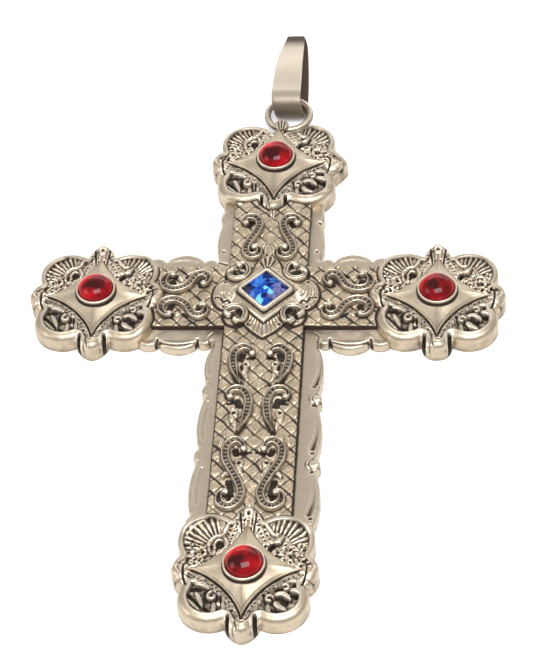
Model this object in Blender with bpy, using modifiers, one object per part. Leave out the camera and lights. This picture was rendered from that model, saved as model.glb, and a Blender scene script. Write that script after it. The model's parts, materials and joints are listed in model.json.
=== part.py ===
"""Jewelled pectoral cross, lying on its back.

Units are millimetres in the constants and metres in Blender. The origin is on the flat back, under the
middle of the crossing. +X is the wearer's left, +Y runs up to the hanging ring and +Z comes out of the
front. Each piece is one closed solid, and neighbours stand about 0.3 mm apart.
"""

import math

import bmesh
import bpy
from mathutils import Vector

MM = 0.001
GAP = 0.3  # space kept between two pieces that touch on the real cross

# Where the four medallions stand, measured from the middle of the crossing
SIDE_REACH = 30.0
UPPER_REACH = 32.75
LOWER_REACH = 58.5
STONE_RADIUS = 3.0  # 6 mm round stones

# Levels, from the flat back upwards
BASE_TOP = 2.1
PANEL_TOP = 3.45
SCROLL_TOP = 4.4
CAP_TOP = 3.0
STAR_TOP = 4.5
CARTOUCHE_TOP = 4.5
BEZEL_TOP = 5.5
BEZEL_FLOOR = 0.2
CABOCHON_TOP = 7.4
CENTRE_STONE_TOP = 6.2

# Base plate: the valleys between its scallops are this far from each arm's axis
SIDE_VALLEYS = (9.3, 9.3)  # where the arms meet, and at the medallion
UPPER_VALLEYS = (9.0, 8.8)
LOWER_LEFT_VALLEYS = (8.8, 9.8)
LOWER_RIGHT_VALLEYS = (9.6, 10.6)
TONGUE_HALF_WIDTH = 5.0
TONGUE_PAST_MEDALLION = 2.0
SCALLOP_PERIOD = 14.0
SCALLOP_NUB = 3.0
SCALLOP_ROUNDNESS = 0.6

# Raised cross
PANEL_HALF_WIDTH = 6.9

# Medallions: four round lobes on the diagonals with a nub between each two
LOBE_OFFSET = 5.2
LOBE_RADIUS = 4.9
LOBE_STRETCH_X = 1.05  # the lobes are slightly wider across the cross than along it
NUB_HALF_WIDTH = 2.4
NUB_TIP = 11.9
LONG_NUB_TIP = 13.1  # the top medallion's right nub is longer, and pointed
LONG_NUB_HALF_WIDTH = 3.4
RING_NOTCH = 1.2  # half-width of the notch in the top medallion that the jump ring hangs in
STAR_TIP = 9.2
STAR_POWER = 0.7
BEZEL_WALL = 0.35
TURN_STEPS = 24

# Centre ornament
CARTOUCHE_LOBE_OFFSET = 4.8
CARTOUCHE_LOBE_RADIUS = 2.2
CARTOUCHE_LEAF_HALF_WIDTH = 2.6
CARTOUCHE_LEAF_TIP = 9.6
CENTRE_STONE_HALF_SIDE = 2.9

# Scrolls
RIBBON_HALF_WIDTH = 0.5
RIBBON_END_HALF_WIDTH = 0.3

# Hanging ring: it lies turned a little to one side in its eye
EYE_CENTRE = Vector((0.45, 43.0, 1.9))
EYE_HOLE_RADIUS = 0.87
EYE_WIRE_RADIUS = 0.35
RING_RADIUS = 4.0
RING_WIRE_RADIUS = 0.57
RING_TURN = math.radians(15.0)

# Bail: a closed tapered band that the ring passes through
BAIL_THICKNESS = 0.7
BAIL_FOOT_RADIUS = 3.0
BAIL_FOOT_Y = 49.05
BAIL_FOLD_RADIUS = 1.5
BAIL_FOLD_Y = 66.9
BAIL_CROWN = 0.8
BAIL_FOOT_WIDTH = 5.4
BAIL_FOLD_WIDTH = 2.6
BAIL_TAPER_POWER = 1.8
BAIL_CENTRE_X = 1.6
BAIL_LEAN = 0.01
BAIL_SKEW = 0.18

SILVER = (0.57, 0.52, 0.45)
DARK_SILVER = (0.40, 0.36, 0.30)
RUBY = (0.45, 0.01, 0.02)
SAPPHIRE = (0.02, 0.10, 0.55)


# ---- small helpers -------------------------------------------------------------------------------

def clear_scene():
    for thing in list(bpy.data.objects):
        bpy.data.objects.remove(thing)


def collection(name):
    made = bpy.data.collections.new(name)
    bpy.context.scene.collection.children.link(made)
    return made


def material(name, colour, roughness, metallic):
    made = bpy.data.materials.new(name)
    made.use_nodes = True
    shader = made.node_tree.nodes["Principled BSDF"]
    shader.inputs["Base Color"].default_value = (*colour, 1.0)
    shader.inputs["Roughness"].default_value = roughness
    shader.inputs["Metallic"].default_value = metallic
    return made


def add_object(name, data, group, finish, location=(0.0, 0.0, 0.0)):
    made = bpy.data.objects.new(name, data)
    made.location = Vector(location) * MM
    group.objects.link(made)
    if finish:
        data.materials.append(finish)
    return made


def mesh_from_bmesh(name, shape):
    bmesh.ops.recalc_face_normals(shape, faces=shape.faces[:])
    mesh = bpy.data.meshes.new(name)
    shape.to_mesh(mesh)
    shape.free()
    return mesh


def smooth_shaded(mesh, degrees=35.0):
    mesh.shade_smooth()
    mesh.set_sharp_from_angle(angle=math.radians(degrees))
    return mesh


def turned_about_z(points, degrees):
    angle = math.radians(degrees)
    return [(u * math.cos(angle) - v * math.sin(angle), u * math.sin(angle) + v * math.cos(angle))
            for u, v in points]


def loft(name, rings, closed=False):
    """A solid through rings of 3D points that all have the same count. A closed loft joins up with itself."""
    shape = bmesh.new()
    rows = [[shape.verts.new(Vector(point) * MM) for point in ring] for ring in rings]
    pairs = list(zip(rows, rows[1:]))
    if closed:
        pairs.append((rows[-1], rows[0]))
    for low, high in pairs:
        for i in range(len(low)):
            j = (i + 1) % len(low)
            shape.faces.new((low[i], low[j], high[j], high[i]))
    if not closed:
        shape.faces.new(rows[0][::-1])
        shape.faces.new(rows[-1])
    return mesh_from_bmesh(name, shape)


def levels_of(outline, levels):
    """Rings for a loft: the outline at each (height, scale)."""
    return [[(x * scale, y * scale, z) for x, y in outline] for z, scale in levels]


def flat_plate(name, outline, bottom, top, group, finish, centre=(0.0, 0.0)):
    """A flat outline with straight sides, from bottom to top."""
    curve = bpy.data.curves.new(name, "CURVE")
    curve.dimensions = "2D"
    curve.fill_mode = "BOTH"
    curve.extrude = (top - bottom) / 2 * MM
    line = curve.splines.new("POLY")
    line.points.add(len(outline) - 1)
    for point, (x, y) in zip(line.points, outline):
        point.co = (x * MM, y * MM, 0.0, 1.0)
    line.use_cyclic_u = True
    return add_object(name, curve, group, finish, (*centre, (bottom + top) / 2))


def turned(name, profile, group, finish, location):
    """A turned solid: the profile of (radius, height) goes from the axis down the outer side and back."""
    mesh = bpy.data.meshes.new(name)
    edges = [(i, i + 1) for i in range(len(profile) - 1)]
    mesh.from_pydata([(radius * MM, 0.0, height * MM) for radius, height in profile], edges, [])
    made = add_object(name, mesh, group, finish, location)
    screw = made.modifiers.new("turn", "SCREW")
    screw.steps = TURN_STEPS
    screw.render_steps = TURN_STEPS
    screw.use_merge_vertices = True
    screw.merge_threshold = 0.00001
    return made


def block(name, low, high, group, finish=None):
    """A box between two corners."""
    shape = bmesh.new()
    bmesh.ops.create_cube(shape, size=1.0)
    size = Vector(high) - Vector(low)
    for vertex in shape.verts:
        vertex.co = Vector(a * b for a, b in zip(vertex.co, size)) * MM
    return add_object(name, mesh_from_bmesh(name, shape), group, finish, (Vector(low) + Vector(high)) / 2)


def boolean(target, tool, operation):
    change = target.modifiers.new(operation.lower(), "BOOLEAN")
    change.operation = operation
    change.object = tool
    tool.hide_render = True
    tool.display_type = "WIRE"


# ---- outlines ------------------------------------------------------------------------------------

def lobed_outline(offset, radius, nubs, stretch_x=1.0):
    """Four lobes on the diagonals, with nubs between them.

    nubs has one entry for each side, anticlockwise from +X: (half-width, tip, shape). A shape of 2 is
    round and nearer 1 is pointed. A tip of None leaves that side bare, open by the half-width.
    """
    lobe_steps = 14
    nub_steps = 6
    points = []
    for side in range(4):
        half_width, tip, shape = nubs[side]
        next_half_width = nubs[(side + 1) % 4][0]
        root = offset + math.sqrt(radius ** 2 - (offset - half_width) ** 2)
        next_root = offset + math.sqrt(radius ** 2 - (offset - next_half_width) ** 2)
        start = math.atan2(half_width - offset, root - offset)
        stop = math.pi / 2 - math.atan2(next_half_width - offset, next_root - offset)
        if tip is not None:
            stretch = stretch_x if side % 2 == 0 else 1.0
            nub = []
            for k in range(-nub_steps + 1, nub_steps):
                part = (1.0 - (abs(k) / nub_steps) ** shape) ** (1 / shape)
                nub.append((root * stretch + (tip - root * stretch) * part, half_width * k / nub_steps))
            points += turned_about_z(nub, 90.0 * side)
        lobe = []
        for k in range(lobe_steps + 1):
            angle = start + (stop - start) * k / lobe_steps
            lobe.append((offset + radius * math.cos(angle), offset + radius * math.sin(angle)))
        points += [(x * stretch_x, y) for x, y in turned_about_z(lobe, 90.0 * side)]
    return points


def star_outline():
    """A four-pointed star with hollow sides."""
    steps = 8
    outline = []
    for k in range(4 * steps):
        angle = math.pi / 2 * k / steps
        x = math.copysign(abs(math.cos(angle)) ** (2 / STAR_POWER), math.cos(angle))
        y = math.copysign(abs(math.sin(angle)) ** (2 / STAR_POWER), math.sin(angle))
        outline.append((STAR_TIP * x, STAR_TIP * y))
    return outline


def scalloped_edge(start, first_valley, scallops):
    """Points (u, v) along an arm's edge. Each scallop is (its end along the arm, its height)."""
    points = [(start, 0.0)]
    at = first_valley
    points.append((at, 0.0))
    for end, height in scallops:
        steps = 8 if end - at > 4.0 else 5
        for k in range(1, steps):
            t = k / steps
            points.append((at + (end - at) * t, height * math.sin(math.pi * t) ** SCALLOP_ROUNDNESS))
        points.append((end, 0.0))
        at = end
    return points


def arm_side(reach, start, valleys, first_valley, scallops, stretch):
    """One long edge of an arm of the base plate, from the crossing to the tongue's end, for v > 0.

    The arm's end follows the medallion's lobe, GAP away, and the tongue goes on under the medallion.
    stretch is how far the lobes are stretched along the arm and across it.
    """
    clear_radius = LOBE_RADIUS + GAP
    along, across = stretch
    beside = valleys[1] / across - LOBE_OFFSET
    high = math.pi - math.asin(beside / clear_radius)
    low = math.pi + math.asin((LOBE_OFFSET - TONGUE_HALF_WIDTH / across) / clear_radius)
    end_u = reach + along * (clear_radius * math.cos(high) - LOBE_OFFSET)
    kept = [(min(end, end_u), height) for end, height in scallops]
    slope = (valleys[1] - valleys[0]) / (end_u - start)
    line = [(u, valleys[0] + slope * (u - start) + v) for u, v in scalloped_edge(start, first_valley, kept)]
    for k in range(1, 7):
        angle = high + (low - high) * k / 6
        line.append((reach + along * (clear_radius * math.cos(angle) - LOBE_OFFSET),
                     across * (clear_radius * math.sin(angle) + LOBE_OFFSET)))
    line.append((reach + TONGUE_PAST_MEDALLION, TONGUE_HALF_WIDTH))
    return line


def whole_arm(right, left, degrees):
    """One arm, anticlockwise: out along its right edge, round the tongue and back along its left edge."""
    outward = [(u, -v) for u, v in right]
    return turned_about_z(outward + left[::-1], degrees)


def lower_scallops(first_nub):
    """Lobe, nub, lobe, nub and so on down the lower arm, from the place of its first nub."""
    long_lobe, small_nub = 1.0, 0.9
    arm_end = LOWER_REACH - LOBE_OFFSET - 2.0
    scallops = [(first_nub, long_lobe)]
    at = first_nub
    while at + SCALLOP_NUB < arm_end:
        scallops.append((at + SCALLOP_NUB, small_nub))
        if at + SCALLOP_PERIOD < arm_end:
            scallops.append((at + SCALLOP_PERIOD, long_lobe))
        at += SCALLOP_PERIOD
    return scallops + [(arm_end + 0.5, 0.3)]


def base_plate_outline():
    wide_x = (LOBE_STRETCH_X, 1.0)
    wide_y = (1.0, LOBE_STRETCH_X)
    side_scallops = [(11.6, 0.6), (18.4, 1.7), (22.0, 0.9)]
    upper_scallops = [(18.4, 0.75), (21.6, 0.6), (24.4, 0.3)]
    side_above = arm_side(SIDE_REACH, UPPER_VALLEYS[0], SIDE_VALLEYS, UPPER_VALLEYS[0] + 0.4, side_scallops, wide_x)
    below_right = arm_side(SIDE_REACH, LOWER_RIGHT_VALLEYS[0], SIDE_VALLEYS, LOWER_RIGHT_VALLEYS[0] + 0.1,
                           side_scallops, wide_x)
    below_left = arm_side(SIDE_REACH, LOWER_LEFT_VALLEYS[0], SIDE_VALLEYS, LOWER_LEFT_VALLEYS[0] + 0.4,
                          side_scallops, wide_x)
    upper = arm_side(UPPER_REACH, SIDE_VALLEYS[0], UPPER_VALLEYS, 10.2, upper_scallops, wide_y)
    lower_left = arm_side(LOWER_REACH, SIDE_VALLEYS[0], LOWER_LEFT_VALLEYS, 10.9, lower_scallops(18.9), wide_y)
    lower_right = arm_side(LOWER_REACH, SIDE_VALLEYS[0], LOWER_RIGHT_VALLEYS, 10.9, lower_scallops(20.9), wide_y)
    points = whole_arm(below_right, side_above, 0.0)
    points += whole_arm(upper, upper, 90.0)[1:]
    points += whole_arm(side_above, below_left, 180.0)[1:]
    points += whole_arm(lower_left, lower_right, 270.0)[1:-1]
    return points


def smooth_line(waypoints, steps=3):
    """A Catmull-Rom line through the waypoints."""
    padded = [waypoints[0]] + list(waypoints) + [waypoints[-1]]
    line = []
    for a, b, c, d in zip(padded, padded[1:], padded[2:], padded[3:]):
        for k in range(steps):
            t = k / steps
            line.append(tuple(
                0.5 * (2 * q + (r - p) * t + (2 * p - 5 * q + 4 * r - s) * t ** 2 + (3 * q - p - 3 * r + s) * t ** 3)
                for p, q, r, s in zip(a, b, c, d)))
    line.append(tuple(waypoints[-1]))
    return line


def ribbon_outline(waypoints):
    """The outline of a flat ribbon that tapers at both ends."""
    line = smooth_line(waypoints)
    right, left = [], []
    last = len(line) - 1
    for k, (x, y) in enumerate(line):
        before, after = line[max(k - 1, 0)], line[min(k + 1, last)]
        heading = math.atan2(after[1] - before[1], after[0] - before[0])
        swell = min(1.0, min(k, last - k) / 4)
        half = RIBBON_END_HALF_WIDTH + (RIBBON_HALF_WIDTH - RIBBON_END_HALF_WIDTH) * swell
        right.append((x + half * math.sin(heading), y - half * math.cos(heading)))
        left.append((x - half * math.sin(heading), y + half * math.cos(heading)))
    return right + left[::-1]


# ---- the pieces ----------------------------------------------------------------------------------

# Centre lines of the scrolls that lie at -X; their mirror images lie at +X
UPPER_SCROLL = [(-5.1, 17.2), (-4.1, 18.3), (-2.8, 18.0), (-2.2, 16.7), (-2.5, 15.2), (-3.4, 13.6),
                (-4.1, 12.0), (-4.2, 10.4), (-3.3, 9.1), (-2.1, 9.4), (-2.0, 10.7)]
LOWER_SCROLLS = {
    "first": [(-1.5, -14.2), (-1.8, -12.8), (-3.3, -12.2), (-4.7, -13.6), (-4.7, -16.0), (-4.0, -18.6),
              (-3.1, -20.2)],
    "second": [(-4.3, -23.6), (-5.1, -22.7), (-4.2, -21.6), (-2.6, -21.8), (-1.6, -23.7), (-1.6, -25.9),
               (-2.1, -28.4), (-3.0, -30.6)],
    "third": [(-1.6, -35.0), (-2.0, -33.4), (-3.2, -32.6), (-4.6, -33.9), (-4.6, -36.4), (-3.6, -38.6),
              (-2.6, -40.4), (-1.8, -42.4), (-1.6, -43.9), (-2.4, -45.7), (-3.8, -46.4), (-5.1, -45.4),
              (-5.3, -43.7), (-4.5, -42.7)],
}
SIDE_SCROLL = [(-16.3, 4.4), (-17.4, 4.7), (-18.3, 3.4), (-18.0, 1.9), (-16.6, 1.2), (-15.2, 1.4),
               (-13.9, 2.3), (-13.2, 3.5), (-12.5, 4.6), (-11.3, 4.9), (-10.4, 4.0), (-10.7, 2.7), (-11.7, 2.4)]


def make_base_plate(group, finish):
    flat_plate("base_plate", base_plate_outline(), 0.0, BASE_TOP, group, finish)


def make_panel_cross(group, finish):
    half = PANEL_HALF_WIDTH
    lobes = LOBE_OFFSET + LOBE_RADIUS
    side = SIDE_REACH - lobes * LOBE_STRETCH_X - GAP
    upper = UPPER_REACH - lobes - GAP
    lower = LOWER_REACH - lobes - GAP
    outline = [(side, half), (half, half), (half, upper), (-half, upper), (-half, half), (-side, half),
               (-side, -half), (-half, -half), (-half, -lower), (half, -lower), (half, -half), (side, -half)]
    flat_plate("panel_cross", outline[::-1], BASE_TOP + GAP, PANEL_TOP, group, finish)


def make_scroll(name, waypoints, mirror_x, mirror_y, group, finish):
    placed = [(x * mirror_x, y * mirror_y) for x, y in waypoints]
    middle = (sum(x for x, _ in placed) / len(placed), sum(y for _, y in placed) / len(placed))
    local = [(x - middle[0], y - middle[1]) for x, y in placed]
    flat_plate(name, ribbon_outline(local), PANEL_TOP + GAP, SCROLL_TOP, group, finish, middle)


def make_scrolls(group, finish):
    for side, mirror in (("left", 1.0), ("right", -1.0)):
        make_scroll(f"upper_scroll_{side}", UPPER_SCROLL, mirror, 1.0, group, finish)
        make_scroll(f"{side}_scroll_upper", SIDE_SCROLL, mirror, 1.0, group, finish)
        make_scroll(f"{side}_scroll_lower", SIDE_SCROLL, mirror, -1.0, group, finish)
        for tier, waypoints in LOWER_SCROLLS.items():
            make_scroll(f"lower_scroll_{tier}_{side}", waypoints, mirror, 1.0, group, finish)


def make_cap(name, centre, arm_side_index, special_nubs, group, cutters, finish):
    """A medallion's body, with a slot in its back for the base plate's tongue.

    arm_side_index counts quarter turns from +X to the side that meets the arm.
    """
    nubs = [(NUB_HALF_WIDTH, NUB_TIP, 2.0)] * 4
    nubs[arm_side_index] = (NUB_HALF_WIDTH, None, 2.0)
    for side, nub in special_nubs.items():
        nubs[side] = nub
    outline = lobed_outline(LOBE_OFFSET, LOBE_RADIUS, nubs, LOBE_STRETCH_X)
    shoulder = 0.7
    top_scale = 0.94
    mesh = loft(name, levels_of(outline, [(0.0, 1.0), (CAP_TOP - shoulder, 1.0), (CAP_TOP, top_scale)]))
    cap = add_object(name, mesh, group, finish, (*centre, 0.0))
    near_end = NUB_TIP + LOBE_RADIUS
    far_end = -(TONGUE_PAST_MEDALLION + GAP)
    half = TONGUE_HALF_WIDTH + GAP
    corners = turned_about_z([(far_end, -half), (near_end, half)], 90.0 * arm_side_index)
    low = (min(x for x, _ in corners) + centre[0], min(y for _, y in corners) + centre[1], -1.0)
    high = (max(x for x, _ in corners) + centre[0], max(y for _, y in corners) + centre[1], BASE_TOP + GAP)
    slot = block(f"{name}_slot", low, high, cutters)
    boolean(cap, slot, "DIFFERENCE")


def make_star(name, centre, group, finish):
    outline = star_outline()
    top_radius = STONE_RADIUS + GAP + BEZEL_WALL - 0.1

    def ring(height, towards_circle):
        points = []
        for x, y in outline:
            shrink = 1.0 - towards_circle + towards_circle * top_radius / math.hypot(x, y)
            points.append((x * shrink, y * shrink, height))
        return points

    bottom = CAP_TOP + GAP
    rings = [ring(bottom, 0.0), ring(bottom + 0.4, 0.0), ring(bottom + 0.8, 0.6), ring(STAR_TOP, 1.0)]
    add_object(name, loft(name, rings), group, finish, (*centre, 0.0))


def make_bezel(name, centre, group, finish):
    inner = STONE_RADIUS + GAP - 0.05
    outer = inner + BEZEL_WALL
    bottom = STAR_TOP + GAP
    floor = bottom + BEZEL_FLOOR
    profile = [(0.0, floor), (inner, floor), (inner, BEZEL_TOP), (outer, BEZEL_TOP), (outer, bottom), (0.0, bottom)]
    turned(name, profile, group, finish, (*centre, 0.0))


def make_cabochon(name, centre, group, finish):
    bottom = STAR_TOP + GAP + BEZEL_FLOOR + GAP
    radius = STONE_RADIUS - 0.05
    steps = 6
    profile = []
    for k in range(steps + 1):
        angle = math.pi / 2 * k / steps
        profile.append((radius * math.sin(angle), BEZEL_TOP + (CABOCHON_TOP - BEZEL_TOP) * math.cos(angle)))
    profile.append((radius, bottom))
    profile.append((0.0, bottom))
    stone = turned(name, profile, group, finish, (*centre, 0.0))
    stone.modifiers["turn"].use_smooth_shade = True


def make_medallions(group, cutters, silver, plain_silver, ruby):
    """Each place is its centre, the side that meets the arm, and the nubs that differ from the rest."""
    top_nubs = {0: (LONG_NUB_HALF_WIDTH, LONG_NUB_TIP, 1.2), 1: (RING_NOTCH, None, 2.0)}
    places = {
        "right": ((SIDE_REACH, 0.0), 2, {}),
        "upper": ((0.0, UPPER_REACH), 3, top_nubs),
        "left": ((-SIDE_REACH, 0.0), 0, {}),
        "lower": ((0.0, -LOWER_REACH), 1, {}),
    }
    for side, (centre, arm, special_nubs) in places.items():
        make_cap(f"{side}_medallion_cap", centre, arm, special_nubs, group, cutters, silver)
        make_star(f"{side}_star_plate", centre, group, plain_silver)
        make_bezel(f"{side}_bezel_cup", centre, group, plain_silver)
        make_cabochon(f"{side}_cabochon", centre, group, ruby)


def rounded_square(half_side, corner, steps=4):
    """A square on its point, with rounded corners."""
    points = []
    for side in range(4):
        quarter = []
        for k in range(steps + 1):
            angle = math.pi / 2 * k / steps
            quarter.append((half_side - corner + corner * math.cos(angle),
                            half_side - corner + corner * math.sin(angle)))
        points += turned_about_z(quarter, 90.0 * side)
    return turned_about_z(points, 45.0)


def make_centre(group, cutters, silver, plain_silver, sapphire):
    leaf = (CARTOUCHE_LEAF_HALF_WIDTH, CARTOUCHE_LEAF_TIP, 1.2)
    outline = lobed_outline(CARTOUCHE_LOBE_OFFSET, CARTOUCHE_LOBE_RADIUS, [leaf] * 4)
    bottom = PANEL_TOP + GAP
    rings = levels_of(outline, [(bottom, 1.0), (bottom + 0.3, 1.0), (CARTOUCHE_TOP, 0.8)])
    add_object("centre_cartouche", loft("centre_cartouche", rings), group, silver)

    inner = CENTRE_STONE_HALF_SIDE + GAP
    outer = inner + BEZEL_WALL
    foot = CARTOUCHE_TOP + GAP
    rings = levels_of(rounded_square(outer, 0.6), [(foot, 1.0), (BEZEL_TOP, 1.0)])
    bezel = add_object("centre_bezel", loft("centre_bezel", rings), group, plain_silver)
    rings = levels_of(rounded_square(inner, 0.1), [(foot + BEZEL_FLOOR, 1.0), (BEZEL_TOP + 1.0, 1.0)])
    pocket = add_object("centre_bezel_pocket", loft("centre_bezel_pocket", rings), cutters, None)
    boolean(bezel, pocket, "DIFFERENCE")

    seat = foot + BEZEL_FLOOR + GAP
    rings = levels_of(rounded_square(CENTRE_STONE_HALF_SIDE, 0.25, 1),
                      [(seat, 0.6), (seat + 0.15, 1.0), (CENTRE_STONE_TOP, 0.55)])
    add_object("centre_stone", loft("centre_stone", rings), group, sapphire)


def torus_mesh(name, radius, wire, around=36, section=8):
    """A wire ring round the Z axis."""
    rings = []
    for i in range(around):
        turn = 2 * math.pi * i / around
        ring = []
        for j in range(section):
            angle = 2 * math.pi * j / section
            distance = radius + wire * math.cos(angle)
            ring.append((distance * math.cos(turn), distance * math.sin(turn), wire * math.sin(angle)))
        rings.append(ring)
    return smooth_shaded(loft(name, rings, closed=True))


def make_hanger_eye(group, cutters, finish):
    """A loop that stands upright behind the top medallion, on a small foot."""
    radius = EYE_HOLE_RADIUS + EYE_WIRE_RADIUS
    eye = add_object("hanger_eye", torus_mesh("hanger_eye", radius, EYE_WIRE_RADIUS, 20), group, finish, EYE_CENTRE)
    eye.rotation_euler = (0.0, math.pi / 2, 0.0)
    root = EYE_CENTRE.y - radius
    half = EYE_WIRE_RADIUS * 0.8
    foot = block("hanger_eye_foot", (EYE_CENTRE.x - half, root - 0.65, EYE_CENTRE.z - 0.9),
                 (EYE_CENTRE.x + half, root + 0.05, EYE_CENTRE.z + 0.9), cutters)
    boolean(eye, foot, "UNION")


def ring_centre():
    return EYE_CENTRE + RING_RADIUS * Vector((math.sin(RING_TURN), math.cos(RING_TURN), 0.0))


def make_jump_ring(group, finish):
    """The ring's origin is on its hinge, where its wire passes through the eye."""
    pivot = bpy.data.objects.new("ring_pivot", None)
    pivot.location = EYE_CENTRE * MM
    group.objects.link(pivot)
    ring = add_object("jump_ring", torus_mesh("jump_ring", RING_RADIUS, RING_WIRE_RADIUS), group, finish)
    ring.parent = pivot
    ring.location = (ring_centre() - EYE_CENTRE) * MM


def bail_side_path():
    """Points (y, z) round the bail's outside, seen from the side, with their outward directions."""
    arc_steps = 8
    strip_steps = 7
    foot = (BAIL_FOOT_Y, BAIL_FOOT_RADIUS)
    fold = (BAIL_FOLD_Y, BAIL_FOLD_RADIUS)
    fall = math.atan2(2 * (BAIL_FOOT_RADIUS - BAIL_FOLD_RADIUS), BAIL_FOLD_Y - BAIL_FOOT_Y)
    path = []
    for k in range(arc_steps + 1):
        angle = -math.pi / 2 - (math.pi + fall) * k / arc_steps
        path.append((foot[0] + BAIL_FOOT_RADIUS * math.cos(angle), foot[1] + BAIL_FOOT_RADIUS * math.sin(angle)))
    top_start = path[-1]
    fold_arc = []
    for k in range(arc_steps + 1):
        angle = math.pi / 2 - fall - (math.pi - fall) * k / arc_steps
        fold_arc.append((fold[0] + BAIL_FOLD_RADIUS * math.cos(angle), fold[1] + BAIL_FOLD_RADIUS * math.sin(angle)))
    for k in range(1, strip_steps):
        t = k / strip_steps
        rise = BAIL_CROWN * math.sin(math.pi * t) ** 1.3
        path.append((top_start[0] + (fold_arc[0][0] - top_start[0]) * t,
                     top_start[1] + (fold_arc[0][1] - top_start[1]) * t + rise))
    path += fold_arc
    for k in range(1, strip_steps):
        t = k / strip_steps
        path.append((BAIL_FOLD_Y + (BAIL_FOOT_Y - BAIL_FOLD_Y) * t, 0.0))
    return path


def make_bail(group, finish):
    """A closed band, wide at the ring's end and narrow at the fold."""
    path = bail_side_path()
    length = BAIL_FOLD_Y + BAIL_FOLD_RADIUS - (BAIL_FOOT_Y - BAIL_FOOT_RADIUS)
    hinge = ring_centre() + Vector((0.0, RING_RADIUS, 0.0))
    rings = []
    for i, (y, z) in enumerate(path):
        before, after = path[i - 1], path[(i + 1) % len(path)]
        along = Vector((after[0] - before[0], after[1] - before[1])).normalized()
        inward = Vector((along.y, -along.x)) * BAIL_THICKNESS
        part = min(1.0, max(0.0, (y - BAIL_FOOT_Y + BAIL_FOOT_RADIUS) / length))
        half = (BAIL_FOOT_WIDTH - (BAIL_FOOT_WIDTH - BAIL_FOLD_WIDTH) * part ** BAIL_TAPER_POWER) / 2
        middle = BAIL_CENTRE_X + BAIL_LEAN * (y - BAIL_FOOT_Y) - BAIL_SKEW * (z - BAIL_FOOT_RADIUS)
        corners = ((middle - half, y, z), (middle + half, y, z),
                   (middle + half, y + inward.x, z + inward.y), (middle - half, y + inward.x, z + inward.y))
        rings.append([Vector(corner) - hinge for corner in corners])
    add_object("bail", smooth_shaded(loft("bail", rings, closed=True)), group, finish, hinge)


def main():
    clear_scene()
    group = collection("pectoral_cross")
    cutters = collection("cutters")
    base_silver = material("base_silver", SILVER, 0.38, 1.0)
    panel_silver = material("panel_silver", DARK_SILVER, 0.5, 1.0)
    scroll_silver = material("scroll_silver", SILVER, 0.35, 1.0)
    medallion_silver = material("medallion_silver", DARK_SILVER, 0.45, 1.0)
    plain_silver = material("plain_silver", SILVER, 0.3, 1.0)
    link_silver = material("link_silver", SILVER, 0.32, 1.0)
    ruby = material("ruby_glass", RUBY, 0.05, 0.0)
    sapphire = material("sapphire_glass", SAPPHIRE, 0.05, 0.0)

    make_base_plate(group, base_silver)
    make_panel_cross(group, panel_silver)
    make_scrolls(group, scroll_silver)
    make_medallions(group, cutters, medallion_silver, plain_silver, ruby)
    make_centre(group, cutters, medallion_silver, plain_silver, sapphire)
    make_hanger_eye(group, cutters, link_silver)
    make_jump_ring(group, link_silver)
    make_bail(group, link_silver)


main()
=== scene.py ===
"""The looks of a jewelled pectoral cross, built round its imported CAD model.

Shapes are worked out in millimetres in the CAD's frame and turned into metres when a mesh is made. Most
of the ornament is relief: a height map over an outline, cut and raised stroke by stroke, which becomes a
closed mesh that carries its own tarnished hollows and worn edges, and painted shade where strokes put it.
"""

import json
import math

import bpy
import numpy as np
from mathutils import Matrix, Vector


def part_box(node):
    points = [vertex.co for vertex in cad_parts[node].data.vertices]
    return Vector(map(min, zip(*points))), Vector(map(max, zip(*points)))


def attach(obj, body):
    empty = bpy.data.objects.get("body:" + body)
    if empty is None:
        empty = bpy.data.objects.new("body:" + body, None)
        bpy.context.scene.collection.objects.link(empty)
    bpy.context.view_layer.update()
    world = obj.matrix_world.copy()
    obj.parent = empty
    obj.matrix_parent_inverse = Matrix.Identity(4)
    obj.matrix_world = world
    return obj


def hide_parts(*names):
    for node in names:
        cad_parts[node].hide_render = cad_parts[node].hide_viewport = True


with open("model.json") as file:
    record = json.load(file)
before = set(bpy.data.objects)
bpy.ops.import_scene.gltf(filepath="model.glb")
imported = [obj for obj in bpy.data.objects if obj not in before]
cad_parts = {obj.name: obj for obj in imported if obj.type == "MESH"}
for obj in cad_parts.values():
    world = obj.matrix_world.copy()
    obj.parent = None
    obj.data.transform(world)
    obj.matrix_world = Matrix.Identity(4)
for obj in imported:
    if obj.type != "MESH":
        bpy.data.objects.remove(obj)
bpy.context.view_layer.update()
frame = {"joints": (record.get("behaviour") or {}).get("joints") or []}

MM = 0.001


def top_of(node):
    """The height of a CAD node's top, in mm."""
    return round(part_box(node)[1].z / MM, 2)


def middle_of(node):
    """The middle of a CAD node's box, seen from above, in mm."""
    low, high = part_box(node)
    return tuple(round((low[k] + high[k]) / 2 / MM, 2) for k in (0, 1))


def hinge_place(name):
    """Where a joint's axis passes, in mm."""
    joint = next(joint for joint in frame["joints"] if joint["name"] == name)
    return Vector([round(part / MM, 2) for part in joint["pos_m"]])


# Levels and places, from the frame
BASE_TOP = top_of("base_plate")
PANEL_TOP = top_of("panel_cross")
SCROLL_TOP = top_of("upper_scroll_left")
STAR_TOP = top_of("upper_star_plate")
BEZEL_TOP = top_of("upper_bezel_cup")
CABOCHON_TOP = top_of("upper_cabochon")
SIDE_REACH = middle_of("right_cabochon")[0]
UPPER_REACH = middle_of("upper_cabochon")[1]
LOWER_REACH = -middle_of("lower_cabochon")[1]
EYE_CENTRE = hinge_place("ring_swing")

# Levels of the cast relief, which the CAD leaves plain
MEDALLION_GROUND = 2.95
MEDALLION_RIM = 3.42
CARTOUCHE_GROUND = 3.85

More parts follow.
